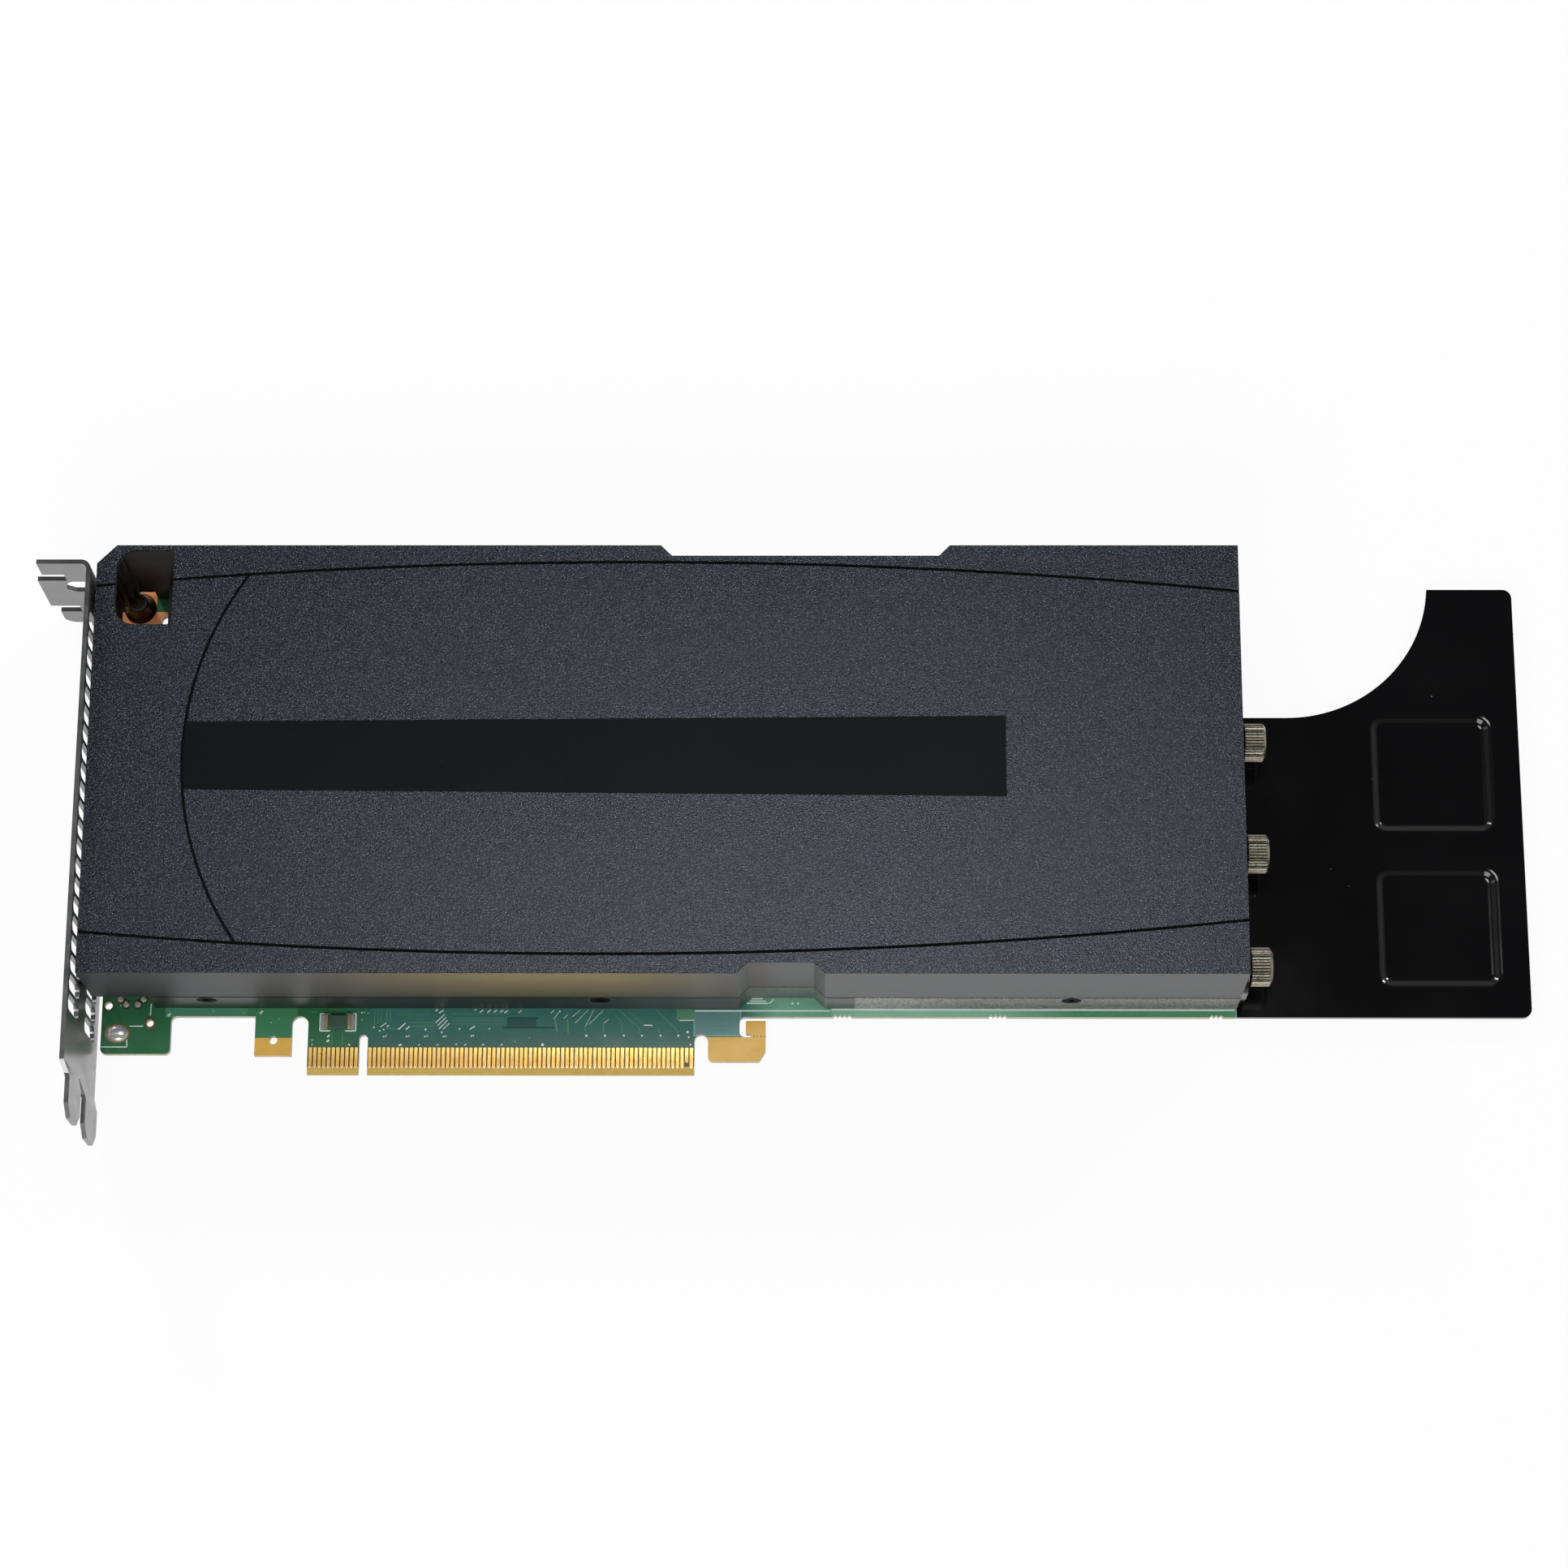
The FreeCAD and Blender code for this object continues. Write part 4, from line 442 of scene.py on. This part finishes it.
def thumb_nickel():
    """Warm nickel, bright on the teeth's crests and painted nearly black between them as painted shade."""
    f = Finish("thumb_nickel").plain(metallic=0.85)
    tooth_depth, rim_width = 0.24, 0.62
    low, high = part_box("thumbscrews")
    radius = (high[2] - low[2]) / 2
    pitch = (high[1] - low[1] - 2 * radius) / 2
    along = f.math("SUBTRACT", f.axis("Y"), low[1] + radius - pitch / 2)
    across = f.math("SUBTRACT", f.math("MODULO", along, pitch), pitch / 2)
    rise = f.math("SUBTRACT", f.axis("Z"), (low[2] + high[2]) / 2)
    crest = f.past(f.distance(across, rise), radius / MM - tooth_depth, 0.2)
    rim = f.past(f.axis("X"), high[0] / MM - rim_width, 0.05)
    tone = f.noise(900, 2.0)
    bright = f.mix(tone, srgb(178, 171, 152), srgb(206, 200, 184))
    # painted shade, nearly black, between the teeth
    shaded_knurl = f.mix(crest, srgb(20, 17, 12), bright)
    f.color(f.mix(rim, shaded_knurl, f.mix(tone, srgb(126, 122, 102), srgb(150, 146, 126))))
    f.rough(f.ramp(tone, (0.3, 0.2), (0.7, 0.34)))
    return f.material


FINISHES = {
    "cover_paint": cover_paint(),
    "band_film": band_film(),
    "frame_black": frame_black(),
    "extender_paint": extender_paint(),
    "board_laminate": board_laminate(),
    "contact_gold": contact_gold(),
    "bracket_steel": metal("bracket_steel", srgb(114, 114, 116), srgb(136, 136, 137), 0.26, 0.36, 40,
                           (1.0, 3.0, 1.0), 0.02),
    "screw_steel": metal("screw_steel", srgb(110, 110, 112), srgb(168, 168, 170), 0.22, 0.4, 900),
    "spring_steel": metal("spring_steel", srgb(130, 131, 134), srgb(172, 172, 174), 0.28, 0.42, 260,
                          (6.0, 0.5, 1.0)),
    "solder": metal("solder", srgb(176, 177, 174), srgb(240, 240, 236), 0.12, 0.34, 700, bump=0.5,
                    metallic=0.5),
    "post_dark": post_dark(),
    "screw_black": moulded("screw_black", srgb(9, 9, 10), srgb(16, 16, 17), 0.75, 700, 0.1, 0.1),
    "heatsink_aluminium": metal("heatsink_aluminium", srgb(168, 170, 172), srgb(204, 205, 208), 0.3, 0.46,
                                140, (0.4, 6.0, 6.0)),
    "capacitor_can": metal("capacitor_can", srgb(166, 167, 170), srgb(202, 203, 206), 0.24, 0.36, 400),
    "thumb_nickel": thumb_nickel(),
    "resistor_body": moulded("resistor_body", srgb(40, 70, 52), srgb(58, 92, 70), 0.42, 500),
    "package_green": moulded("package_green", srgb(28, 70, 48), srgb(40, 92, 64), 0.38),
    "die_silicon": moulded("die_silicon", srgb(60, 62, 70), srgb(78, 80, 88), 0.12, 120, 0.02),
    "paste_grey": moulded("paste_grey", srgb(150, 150, 150), srgb(176, 176, 176), 0.6),
    "chip_black": moulded("chip_black", srgb(26, 26, 28), srgb(40, 40, 43), 0.5, 600, 0.25),
    "ferrite": moulded("ferrite", srgb(62, 62, 66), srgb(88, 88, 92), 0.55, 700, 0.3),
    "pad_grey": moulded("pad_grey", srgb(128, 136, 146), srgb(150, 158, 166), 0.7, 300, 0.2),
    "connector_black": moulded("connector_black", srgb(18, 18, 19), srgb(30, 30, 31), 0.4, 500, 0.15),
    # finishes of the added pieces
    "shunt_cap": metal("shunt_cap", srgb(128, 114, 86), srgb(184, 170, 138), 0.24, 0.4, 900, metallic=0.6),
    "contact_bead": metal("contact_bead", srgb(240, 222, 176), srgb(255, 248, 224), 0.24, 0.36, 900,
                          metallic=0.4),
    "via_silver": metal("via_silver", srgb(206, 220, 212), srgb(242, 248, 244), 0.3, 0.44, 900,
                        metallic=0.2),
    "plated_rim": metal("plated_rim", srgb(112, 84, 50), srgb(166, 134, 88), 0.3, 0.44, 900),
    "board_ink": moulded("board_ink", srgb(212, 236, 222), srgb(244, 252, 246), 0.5, 900),
    "masked_trace": moulded("masked_trace", srgb(78, 134, 104), srgb(98, 152, 118), 0.34, 500),
}

for entry in frame["record"]["subparts"]:
    finish = FINISHES[entry["material_slot"]]
    mesh = nodes[entry["node"]].data
    if not mesh.materials:
        mesh.materials.append(finish)
    for index in range(len(mesh.materials)):
        mesh.materials[index] = finish


# ---- marks on the board --------------------------------------------------------------------------

board_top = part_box("circuit_board")[1][2]
SAME_PLACE = 1e-6  # in metres; the marks' other sizes are in millimetres
BAR_ROUNDING = 0.42  # share of a bar's width that its upright edges are rounded by
DOT_SIDES, DOT_TAPER = 12, 0.7
RING_STEPS, TURNED_STEPS = 32, 40
DASH_THICKNESS, VIA_THICKNESS, INK_THICKNESS = 0.05, 0.06, 0.03
TRACE_THICKNESS, RIM_THICKNESS = 0.02, 0.04
CONTACT_PITCH, FIRST_CONTACT = 1.0, 1.5
CONTACTS_BEFORE_KEY, CONTACTS_AFTER_KEY = 11, 71
SHORT_CONTACT = 69  # counted from the key; it ends higher and has no bead
BEAD_PLACE, BEAD_RADIUS, BEAD_THICKNESS = 1.62, 0.24, 0.055


def finished(bm, name, finish):
    """Turn a bmesh into a piece that rides with the card."""
    bmesh.ops.recalc_face_normals(bm, faces=bm.faces)
    mesh = bpy.data.meshes.new(name)
    bm.to_mesh(mesh)
    bm.free()
    piece = bpy.data.objects.new(name, mesh)
    bpy.context.scene.collection.objects.link(piece)
    mesh.materials.append(finish)
    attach(piece, "root")
    return piece


def add_bar(bm, start, end, width, thickness):
    """Flat bar with rounded ends on the board's face, from one point to another, in millimetres."""
    along = Vector(end) - Vector(start)
    middle = (Vector(start) + Vector(end)) / 2
    turn = Matrix.Rotation(math.atan2(along.y, along.x), 4, "Z")
    size = Matrix.Diagonal((along.length * MM, width * MM, thickness * MM, 1.0))
    place = Matrix.Translation((middle.x * MM, middle.y * MM, board_top + thickness * MM / 2))
    made = bmesh.ops.create_cube(bm, size=1.0, matrix=place @ turn @ size)
    upright = {edge for vert in made["verts"] for edge in vert.link_edges
               if abs(edge.verts[0].co.z - edge.verts[1].co.z) > thickness * MM / 2}
    bmesh.ops.bevel(bm, geom=list(upright), offset=width * MM * BAR_ROUNDING, segments=2, profile=0.5,
                    affect="EDGES", material=-1)


def add_dot(bm, x, y, radius, thickness):
    """Low round dot, a little narrower at the top."""
    place = Matrix.Translation((x * MM, y * MM, board_top + thickness * MM / 2))
    bmesh.ops.create_cone(bm, cap_ends=True, segments=DOT_SIDES, radius1=radius * MM,
                          radius2=radius * MM * DOT_TAPER, depth=thickness * MM, matrix=place)


def add_ring(bm, x, y, inner, outer, thickness, squash=1.0):
    """Flat ring, round or squashed along Y to an oval."""
    section = [bm.verts.new((radius * MM, 0.0, height)) for radius, height in (
        (inner, 0.0), (outer, 0.0), (outer, thickness * MM), (inner, thickness * MM))]
    edges = [bm.edges.new((section[index], section[(index + 1) % 4])) for index in range(4)]
    made = bmesh.ops.spin(bm, geom=section + edges, cent=(0, 0, 0), axis=(0, 0, 1), angle=math.tau,
                          steps=RING_STEPS, use_merge=True)
    ring = set(section) | {item for item in made["geom_last"] if isinstance(item, bmesh.types.BMVert)}
    reached = set(ring)
    while ring:
        ring = {edge.other_vert(vert) for vert in ring for edge in vert.link_edges} - reached
        reached |= ring
    size = Matrix.Diagonal((1.0, squash, 1.0, 1.0))
    place = Matrix.Translation((x * MM, y * MM, board_top))
    bmesh.ops.transform(bm, matrix=place @ size, verts=list(reached))


SILVER_DASHES = (
    # short slanted dashes by the frame and between the notches: two ends and a width, in millimetres
    ((-22.9, 13.5), (-22.2, 14.2), 0.42), ((-42.95, 12.95), (-42.4, 13.55), 0.5),
    ((-7.95, 8.3), (-7.4, 8.8), 0.35), ((-8.05, 7.25), (-7.45, 7.65), 0.42),
    ((-3.3, 6.8), (-2.9, 6.4), 0.25), ((3.6, 10.6), (4.9, 11.5), 0.2), ((5.0, 10.6), (5.5, 10.95), 0.26),
    ((7.5, 10.0), (9.1, 11.5), 0.26), ((9.2, 10.0), (10.05, 10.8), 0.26),
    ((7.65, 6.45), (8.35, 6.65), 0.34), ((11.95, 6.45), (12.3, 6.7), 0.2),
    ((16.0, 6.45), (16.3, 6.7), 0.2), ((22.0, 6.5), (22.4, 6.8), 0.2), ((25.9, 6.5), (26.3, 6.8), 0.2),
    ((30.0, 6.5), (30.3, 6.8), 0.2), ((23.1, 10.0), (23.8, 10.6), 0.2),
    ((15.5, 14.15), (16.05, 14.55), 0.3), ((16.3, 13.7), (17.35, 14.4), 0.28),
    ((15.65, 11.55), (17.6, 13.5), 0.22), ((16.1, 10.95), (17.9, 12.8), 0.22),
    ((16.4, 10.15), (18.25, 12.15), 0.22), ((17.2, 10.05), (18.7, 11.45), 0.18),
    ((25.2, 13.85), (26.0, 14.45), 0.3), ((26.85, 13.85), (27.6, 14.45), 0.3),
    ((28.25, 13.85), (29.0, 14.45), 0.3), ((29.6, 13.85), (30.35, 14.45), 0.3),
    ((30.6, 13.75), (31.4, 14.4), 0.3), ((33.6, 13.75), (34.4, 14.4), 0.22),
    ((40.7, 13.7), (41.5, 14.4), 0.14), ((41.4, 12.45), (42.7, 14.2), 0.12),
    ((43.55, 12.55), (44.5, 13.4), 0.12), ((45.45, 12.9), (47.2, 14.45), 0.12),
    ((46.05, 11.5), (48.9, 14.45), 0.11), ((48.3, 10.7), (50.1, 14.45), 0.1),
    ((49.1, 11.2), (52.2, 14.4), 0.1), ((52.3, 11.4), (53.4, 12.35), 0.12),
    ((61.05, 11.05), (63.0, 11.0), 0.24), ((68.75, 12.1), (72.0, 12.15), 0.22),
)
SILVER_DOTS = (
    # place and radius
    (-0.57, 13.83, 0.2), (0.03, 13.83, 0.16), (0.79, 13.72, 0.14), (-0.45, 12.18, 0.12),
    (2.18, 10.53, 0.22), (3.45, 9.76, 0.2), (4.34, 10.05, 0.2), (-11.25, 7.65, 0.16), (-11.2, 6.66, 0.16),
    (13.47, 10.06, 0.24), (17.02, 9.44, 0.22), (4.35, 8.5, 0.2), (4.85, 8.6, 0.18), (9.4, 8.5, 0.2),
    (9.9, 8.6, 0.18), (13.37, 8.5, 0.2), (13.87, 8.6, 0.18), (17.45, 8.5, 0.2), (17.95, 8.6, 0.18),
    (24.27, 14.5, 0.2), (20.88, 10.21, 0.2), (24.03, 10.68, 0.24), (27.39, 10.22, 0.2), (23.5, 8.62, 0.2),
    (23.95, 8.68, 0.18), (48.58, 8.69, 0.28), (52.64, 8.7, 0.26), (39.07, 6.71, 0.32),
    (20.25, 6.74, 0.18), (42.72, 14.18, 0.2), (56.74, 8.72, 0.24), (60.71, 8.72, 0.24),
    (64.73, 8.73, 0.24), (68.63, 8.73, 0.24), (70.63, 9.55, 0.28), (70.89, 8.4, 0.22), (71.28, 6.75, 0.2),
    (-53.36, 15.37, 0.16), (-33.0, 14.1, 0.12), (93.51, 16.04, 0.3), (94.7, 16.04, 0.3), (33.0, 7.4, 0.1),
    (36.2, 8.2, 0.1), (-26.5, 13.7, 0.1), (-20.3, 11.6, 0.12), (-18.6, 12.4, 0.1),
)
WHITE_LINES = (
    ((-46.7, 15.75), (-46.77, 13.05), 0.22), ((-51.26, 10.7), (-48.2, 10.7), 0.24),
    ((-57.3, 6.04), (-51.61, 6.04), 0.22), ((-51.61, 6.04), (-51.7, 7.86), 0.22),
    ((72.2, 14.28), (101.84, 14.31), 0.3), ((101.9, 14.6), (189.9, 14.55), 0.42),
    ((84.55, 17.0), (86.99, 17.0), 0.26), ((84.11, 16.5), (87.66, 16.5), 0.28),
    ((83.51, 15.98), (88.16, 15.98), 0.3), ((88.3, 15.9), (89.28, 16.7), 0.24),
    ((89.28, 16.7), (89.1, 17.05), 0.22), ((-9.7, 13.5), (-7.3, 13.5), 0.26),
    ((-9.7, 9.7), (-7.3, 9.7), 0.26), ((-9.6, 9.8), (-9.6, 13.4), 0.26),
    ((-4.1, 13.5), (-1.7, 13.5), 0.26), ((-4.1, 9.7), (-1.7, 9.7), 0.26),
    ((-1.8, 9.8), (-1.8, 13.4), 0.26),
)
MASKED_TRACES = (
    ((4.9, 14.5), (4.9, 12.0), 0.3), ((5.65, 14.4), (5.65, 11.6), 0.16),
    ((7.25, 13.47), (14.34, 13.47), 0.14), ((9.66, 11.59), (15.46, 11.59), 0.14),
    ((10.33, 10.82), (15.48, 10.82), 0.14), ((5.0, 10.2), (7.5, 10.2), 0.14),
    ((19.0, 13.57), (31.0, 13.57), 0.14), ((19.0, 12.53), (31.0, 12.53), 0.14),
    ((19.0, 12.0), (31.0, 12.0), 0.12), ((19.0, 11.37), (30.5, 11.37), 0.12),
    ((2.3, 14.4), (2.3, 11.0), 0.12), ((3.0, 14.4), (3.0, 11.2), 0.12), ((3.7, 14.4), (3.7, 11.4), 0.12),
    ((-4.6, 9.3), (-4.6, 6.3), 0.12), ((-6.9, 9.3), (-6.9, 6.3), 0.12), ((48.3, 9.7), (48.3, 10.6), 0.2),
    ((52.3, 9.4), (52.35, 11.2), 0.2), ((54.68, 13.36), (56.32, 11.83), 0.16),
    ((56.32, 11.83), (56.35, 9.2), 0.16), ((55.66, 14.38), (60.19, 10.3), 0.16),
    ((60.19, 10.3), (60.2, 9.2), 0.16), ((57.53, 14.26), (61.05, 11.32), 0.14),
    ((63.74, 14.5), (68.01, 10.31), 0.18), ((68.01, 10.31), (68.52, 9.3), 0.18),
    ((64.04, 10.69), (64.6, 9.3), 0.14), ((41.6, 12.6), (42.2, 9.4), 0.3),
    ((44.4, 12.3), (44.6, 9.2), 0.3), ((-11.6, 13.9), (-10.3, 13.9), 0.12),
    ((89.0, 17.1), (88.1, 18.4), 0.2), ((73.0, 12.4), (81.5, 12.4), 0.1),
    ((73.0, 10.9), (81.5, 10.9), 0.1),
)
PLATED_RIMS = (
    # place, two radii and squash
    (-46.8, 11.4, 0.82, 1.3, 1.0), (-56.0, 15.3, 0.9, 1.12, 1.0), (-53.8, 9.1, 2.45, 2.78, 0.78),
    (-52.15, 15.6, 0.76, 1.0, 1.0), (-49.65, 15.6, 0.76, 1.0, 1.0), (-53.45, 16.8, 0.76, 1.0, 1.0),
    (-48.35, 16.8, 0.76, 1.0, 1.0),
)


def bars(name, lines, thickness, finish):
    """One piece of flat bars, from their two ends and width."""
    bm = bmesh.new()
    for start, end, width in lines:
        add_bar(bm, start, end, width, thickness)
    finished(bm, name, finish)


def dots(name, places, thickness, finish):
    """One piece of low round dots, from their place and radius."""
    bm = bmesh.new()
    for x, y, radius in places:
        add_dot(bm, x, y, radius, thickness)
    finished(bm, name, finish)


def contact_beads():
    """Place and radius of the rounded nickel bead at the lower end of each edge contact."""
    before = [-(FIRST_CONTACT + step * CONTACT_PITCH) for step in range(CONTACTS_BEFORE_KEY)]
    after = [FIRST_CONTACT + step * CONTACT_PITCH for step in range(CONTACTS_AFTER_KEY)]
    after.pop(SHORT_CONTACT)
    return [(x, BEAD_PLACE, BEAD_RADIUS) for x in before + after]


def plated_rings():
    """Plated rims around the holes and joints of the foot and the tab."""
    bm = bmesh.new()
    for x, y, inner, outer, squash in PLATED_RIMS:
        add_ring(bm, x, y, inner, outer, RIM_THICKNESS, squash)
    finished(bm, "plated_rings", FINISHES["plated_rim"])


def turned(name, x, y, profile, finish):
    """Solid turned about an upright axis, from radii and heights that start and end on the axis."""
    bm = bmesh.new()
    corners = [bm.verts.new((radius * MM, 0.0, height * MM)) for radius, height in profile]
    edges = [bm.edges.new(pair) for pair in zip(corners, corners[1:])]
    bmesh.ops.spin(bm, geom=corners + edges, cent=(0, 0, 0), axis=(0, 0, 1), angle=math.tau,
                   steps=TURNED_STEPS, use_merge=True)
    bmesh.ops.remove_doubles(bm, verts=bm.verts, dist=SAME_PLACE)
    bmesh.ops.translate(bm, verts=bm.verts, vec=(x, y, board_top))
    return finished(bm, name, finish)


def corner_post():
    """Post with a broad foot on a pin through the board, and a narrower head with a shallow dimple."""
    pin, neck, head, dimple = 1.5, 2.9, 2.3, 1.5
    low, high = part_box("corner_post")
    depth = (low[2] - board_top) / MM
    top = (high[2] - board_top) / MM
    foot = (high[0] - low[0]) / 2 / MM
    profile = ((0, depth), (pin, depth), (pin, 0), (foot, 0), (foot, 0.35), (foot - 0.3, 0.7), (neck, 1.3),
               (head + 0.25, 2.4), (head, 3.6), (head, top - 0.25), (head - 0.2, top), (dimple, top),
               (dimple - 0.15, top - 0.3), (0, top - 0.3))
    piece = turned("turned_post", (low[0] + high[0]) / 2, (low[1] + high[1]) / 2, profile,
                   FINISHES["post_dark"])
    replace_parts(piece, "corner_post")


def add_block(bm, left, right, front, back, top, rounding, bottom=0.0, outer_top=None):
    """Rounded block, in millimetres; outer_top lowers the side that is given as left, for a fillet."""
    middle = board_top + (bottom + top) / 2 * MM
    place = Matrix.Translation(((left + right) / 2 * MM, (front + back) / 2 * MM, middle))
    size = Matrix.Diagonal((abs(right - left) * MM, (back - front) * MM, (top - bottom) * MM, 1.0))
    made = bmesh.ops.create_cube(bm, size=1.0, matrix=place @ size)
    if outer_top is not None:
        for vert in made["verts"]:
            if abs(vert.co.x - left * MM) < SAME_PLACE and vert.co.z > middle:
                vert.co.z = board_top + outer_top * MM
    edges = list({edge for vert in made["verts"] for edge in vert.link_edges})
    bmesh.ops.bevel(bm, geom=edges, offset=rounding * MM, segments=2, profile=0.5, affect="EDGES",
                    material=-1)


def shunt():
    """Current-sense resistor: bare body between two pale end caps with solder fillets."""
    low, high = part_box("shunt_resistor")
    x, y = (low[0] + high[0]) / 2 / MM, (low[1] + high[1]) / 2 / MM
    body_reach, body_width, body_top = 2.15, 1.5, 0.8
    cap_start, cap_end, cap_width, cap_top = 2.1, 2.95, 1.6, 0.86
    fillet_start, fillet_end, fillet_top, fillet_foot = 2.93, 3.65, 0.66, 0.12
    bm = bmesh.new()
    add_block(bm, x - body_reach, x + body_reach, y - body_width, y + body_width, body_top, 0.1)
    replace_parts(finished(bm, "shunt_body", FINISHES["resistor_body"]), "shunt_resistor")
    bm = bmesh.new()
    for side in (-1, 1):
        add_block(bm, x + side * cap_start, x + side * cap_end, y - cap_width, y + cap_width, cap_top, 0.1)
    finished(bm, "shunt_caps", FINISHES["shunt_cap"])
    bm = bmesh.new()
    for side in (-1, 1):
        add_block(bm, x + side * fillet_end, x + side * fillet_start, y - cap_width, y + cap_width,
                  fillet_top, 0.04, outer_top=fillet_foot)
    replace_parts(finished(bm, "shunt_fillets", FINISHES["solder"]), "shunt_terminals")


def slit_shade_strips():
    """Low dark strips along the board's left and far edges: painted shade that closes the slit at the
    corner window.
    """
    outer, left_inner, right, front = -58.5, -57.25, -48.5, 99.0
    back_inner, back = 111.1, 111.6
    bm = bmesh.new()
    for strip in ((outer, left_inner, front, back), (left_inner, right, back_inner, back)):
        add_block(bm, *strip, top=-0.05, rounding=0.1, bottom=-0.95)
    finished(bm, "slit_shade_strips", FINISHES["screw_black"])


bars("via_dashes", SILVER_DASHES, DASH_THICKNESS, FINISHES["via_silver"])
dots("via_dots", SILVER_DOTS, VIA_THICKNESS, FINISHES["via_silver"])
bars("printed_lines", WHITE_LINES, INK_THICKNESS, FINISHES["board_ink"])
bars("masked_traces", MASKED_TRACES, TRACE_THICKNESS, FINISHES["masked_trace"])
dots("contact_ends", contact_beads(), BEAD_THICKNESS, FINISHES["contact_bead"])
plated_rings()
corner_post()
shunt()
slit_shade_strips()


# ---- studio --------------------------------------------------------------------------------------

FLOOR_REACH = 4.0
FLOOR_CLEARANCE = 0.00002
FLOOR_GLOW = 0.93  # share of its own light that the floor shows to the camera and in reflections
CARD_MIDDLE = (0.1, 0.05)
SKY = ((0.0, 0.72), (0.2, 0.54), (0.55, 0.3), (0.85, 0.04))  # height of the direction, level
CAMERA_PLACE = (0.100144, -0.203783, 0.885827)
CAMERA_RIGHT = (1.0, 0.0033, -0.0088)
CAMERA_UP = (-0.0006, 0.9566, 0.2914)
SENSOR_WIDTH, FOCAL_LENGTH = 36.0, 95.85
LAMPS = (
    # name, place, target, size and watts
    ("top_softbox", (0.1, 0.15, 1.17), (0.1, 0.15, 0.0), (0.26, 0.3), 2.6),
    ("front_softbox", (-0.12, -0.75, 0.75), (0.05, 0.05, 0.0), (0.7, 0.4), 6.2),
    ("left_softbox", (-0.85, 0.2, 0.7), (0.1, 0.05, 0.0), (0.24, 0.24), 0.4),
    ("back_left", (-0.45, 0.85, 0.55), (0.15, 0.05, 0.0), (0.16, 0.16), 4.0),
    ("back_right", (0.95, 0.8, 0.55), (0.15, 0.05, 0.0), (0.16, 0.16), 4.0),
)


def pale_floor():
    """Matt floor under the card that glows evenly where the camera or a reflection sees it."""
    bm = bmesh.new()
    bmesh.ops.create_grid(bm, x_segments=1, y_segments=1, size=FLOOR_REACH)
    mesh = bpy.data.meshes.new("floor")
    bm.to_mesh(mesh)
    bm.free()
    floor = bpy.data.objects.new("floor", mesh)
    floor.location = (*CARD_MIDDLE, cad_box[0][2] - FLOOR_CLEARANCE)
    bpy.context.scene.collection.objects.link(floor)
    f = Finish("pale_floor").plain(color=(0.86, 0.86, 0.86), roughness=0.9)
    glow = f.add("ShaderNodeEmission")
    glow.inputs["Strength"].default_value = 1.0
    rays = f.add("ShaderNodeLightPath").outputs
    seen = f.math("MAXIMUM", rays["Is Camera Ray"], f.math(
        "MAXIMUM", rays["Is Glossy Ray"], rays["Is Transmission Ray"]))
    blend = f.add("ShaderNodeMixShader")
    f.link(f.product(seen, FLOOR_GLOW), blend.inputs["Fac"])
    f.link(f.shader.outputs["BSDF"], blend.inputs[1])
    f.link(glow.outputs["Emission"], blend.inputs[2])
    f.link(blend.outputs["Shader"], f.tree.nodes["Material Output"].inputs["Surface"])
    mesh.materials.append(f.material)


def soft_lamp(name, place, target, size, watts):
    """Rectangular lamp that points from its place at a target."""
    lamp = bpy.data.lights.new(name, "AREA")
    lamp.shape = "RECTANGLE"
    lamp.size, lamp.size_y = size
    lamp.energy = watts
    made = bpy.data.objects.new(name, lamp)
    made.location = place
    aim = Vector(target) - Vector(place)
    made.rotation_euler = aim.to_track_quat("-Z", "Y").to_euler()
    bpy.context.scene.collection.objects.link(made)


def studio_world():
    """Light walls near the horizon and a dim ceiling; plain white where the camera sees it."""
    world = bpy.data.worlds.new("studio")
    bpy.context.scene.world = world
    world.use_nodes = True
    tree = world.node_tree
    back = tree.nodes["Background"]
    place = tree.nodes.new("ShaderNodeTexCoord")
    split = tree.nodes.new("ShaderNodeSeparateXYZ")
    ramp = tree.nodes.new("ShaderNodeValToRGB")
    tree.links.new(place.outputs["Generated"], split.inputs["Vector"])
    tree.links.new(split.outputs["Z"], ramp.inputs["Fac"])
    set_stops(ramp.color_ramp, SKY)
    mix = tree.nodes.new("ShaderNodeMix")
    mix.data_type = "RGBA"
    seen = tree.nodes.new("ShaderNodeLightPath")
    tree.links.new(seen.outputs["Is Camera Ray"], mix.inputs["Factor"])
    colors = [socket for socket in mix.inputs if socket.type == "RGBA"]
    tree.links.new(ramp.outputs["Color"], colors[0])
    colors[1].default_value = (1.0, 1.0, 1.0, 1.0)
    tree.links.new(next(s for s in mix.outputs if s.type == "RGBA"), back.inputs["Color"])
    back.inputs["Strength"].default_value = 1.0


def camera():
    """Camera above and a little in front of the card."""
    lens = bpy.data.cameras.new("camera")
    lens.sensor_width = SENSOR_WIDTH
    lens.lens = FOCAL_LENGTH
    lens.clip_start, lens.clip_end = 0.02, 20.0
    made = bpy.data.objects.new("camera", lens)
    right = Vector(CAMERA_RIGHT).normalized()
    back = right.cross(Vector(CAMERA_UP)).normalized()
    turn = Matrix((right, back.cross(right), back)).transposed().to_4x4()
    made.matrix_world = Matrix.Translation(CAMERA_PLACE) @ turn
    bpy.context.scene.collection.objects.link(made)
    bpy.context.scene.camera = made


pale_floor()
for lamp in LAMPS:
    soft_lamp(*lamp)
studio_world()
camera()
bpy.context.scene.view_settings.view_transform = "Standard"
